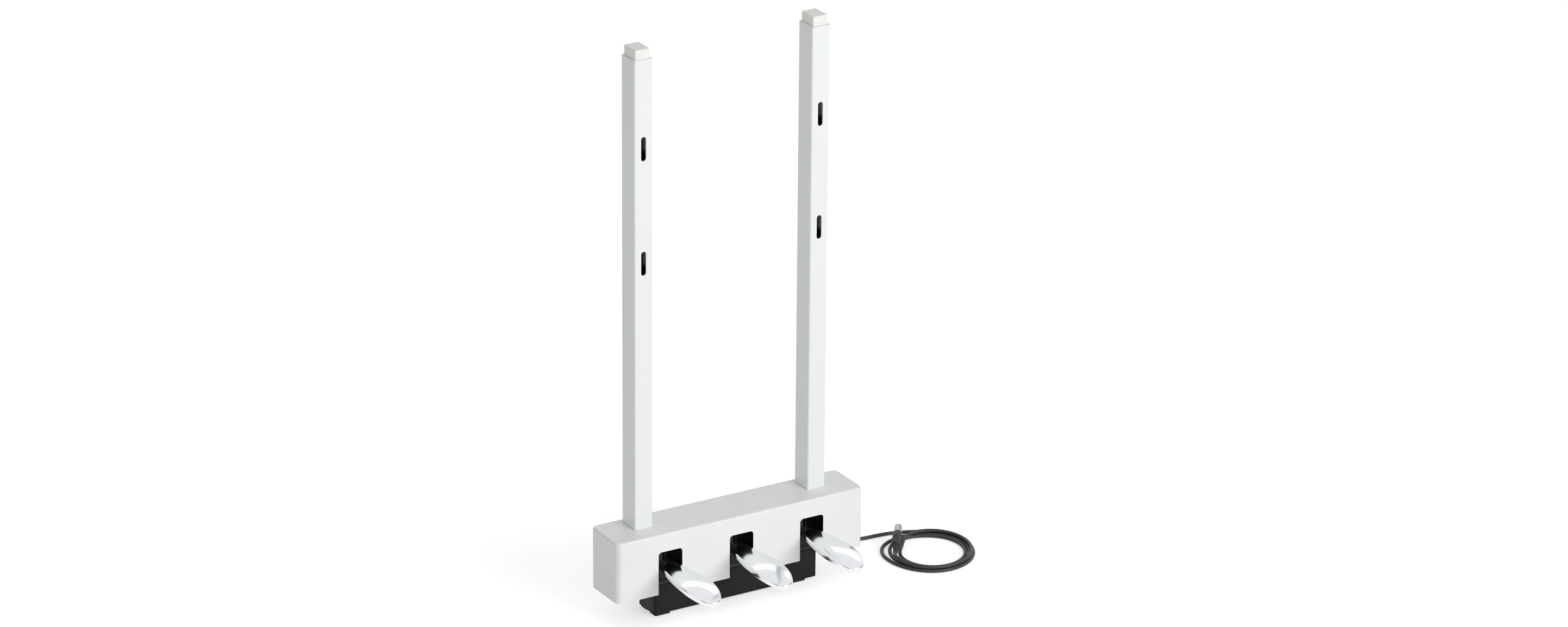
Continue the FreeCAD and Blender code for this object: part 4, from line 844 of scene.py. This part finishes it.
def front_camera(studio):
    """Camera in front, turned to the left, looking down and rolled a little."""
    camera = bpy.data.cameras.new("camera")
    camera.lens = studio.lens
    camera.sensor_width = 36.0
    camera.clip_end = 200.0
    eye = bpy.data.objects.new("camera", camera)
    level = math.cos(CAMERA_RISE)
    back = Vector((-math.sin(CAMERA_TURN) * level, -math.cos(CAMERA_TURN) * level,
                   math.sin(CAMERA_RISE)))
    right = Vector((math.cos(CAMERA_TURN), -math.sin(CAMERA_TURN), 0))
    up = back.cross(right)
    side = right * math.cos(CAMERA_ROLL) + up * math.sin(CAMERA_ROLL)
    top = up * math.cos(CAMERA_ROLL) - right * math.sin(CAMERA_ROLL)
    axes = Matrix((side, top, back)).transposed().to_4x4()
    eye.matrix_world = Matrix.Translation(CAMERA_PLACE) @ axes
    bpy.context.scene.collection.objects.link(eye)
    bpy.context.scene.camera = eye


class PEDALUNIT_OT_studio(bpy.types.Operator):
    """Pale floor, soft lights and the camera"""

    bl_idname = "pedal_unit.studio"
    bl_label = "Studio"

    def execute(self, context):
        studio = context.scene.pedal_unit_studio
        paper_floor(studio)
        surround(studio)
        area_light("key_light", KEY_PLACE, KEY_SIZE, studio.key)
        area_light("back_card", CARD_PLACE, CARD_SIZE, studio.card)
        front_camera(studio)
        context.scene.view_settings.view_transform = "Standard"
        return {"FINISHED"}


# ---------------------------------------------------------------- panel and registration
OPERATORS = (
    PEDALUNIT_OT_studio,
    PEDALUNIT_OT_boot,
    PEDALUNIT_OT_plug,
    PEDALUNIT_OT_cord,
    PEDALUNIT_OT_housing,
    PEDALUNIT_OT_uprights,
    PEDALUNIT_OT_base,
    PEDALUNIT_OT_pedals,
    PEDALUNIT_OT_bearings,
    PEDALUNIT_OT_electrics,
    PEDALUNIT_OT_fasteners,
)


class PEDALUNIT_PT_panel(bpy.types.Panel):
    """Every step of the unit, with its settings"""

    bl_idname = "PEDALUNIT_PT_panel"
    bl_label = "Pedal Unit"
    bl_space_type = "VIEW_3D"
    bl_region_type = "UI"
    bl_category = "Pedal Unit"

    def draw(self, context):
        layout = self.layout
        for operator in OPERATORS:
            layout.operator(operator.bl_idname)
        for group in ("pedal_unit_finishes", "pedal_unit_cord", "pedal_unit_studio"):
            settings = getattr(context.scene, group)
            column = layout.column()
            for name in settings.__annotations__:
                column.prop(settings, name)


CLASSES = (PedalUnitFinishes, PedalUnitCord, PedalUnitStudio, *OPERATORS, PEDALUNIT_PT_panel)


def register():
    """Registers the classes and hangs the three groups of settings on the scene."""
    for made in CLASSES:
        bpy.utils.register_class(made)
    bpy.types.Scene.pedal_unit_finishes = PointerProperty(type=PedalUnitFinishes)
    bpy.types.Scene.pedal_unit_cord = PointerProperty(type=PedalUnitCord)
    bpy.types.Scene.pedal_unit_studio = PointerProperty(type=PedalUnitStudio)


def unregister():
    """Undoes what register() did."""
    del bpy.types.Scene.pedal_unit_studio
    del bpy.types.Scene.pedal_unit_cord
    del bpy.types.Scene.pedal_unit_finishes
    for made in reversed(CLASSES):
        bpy.utils.unregister_class(made)


def main():
    """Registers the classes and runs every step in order."""
    register()
    bpy.ops.pedal_unit.studio()
    bpy.ops.pedal_unit.boot()
    bpy.ops.pedal_unit.plug()
    bpy.ops.pedal_unit.cord()
    bpy.ops.pedal_unit.housing()
    bpy.ops.pedal_unit.uprights()
    bpy.ops.pedal_unit.base()
    bpy.ops.pedal_unit.pedals()
    bpy.ops.pedal_unit.bearings()
    bpy.ops.pedal_unit.electrics()
    bpy.ops.pedal_unit.fasteners()
    bpy.context.view_layer.update()


if __name__ == "__main__":
    main()
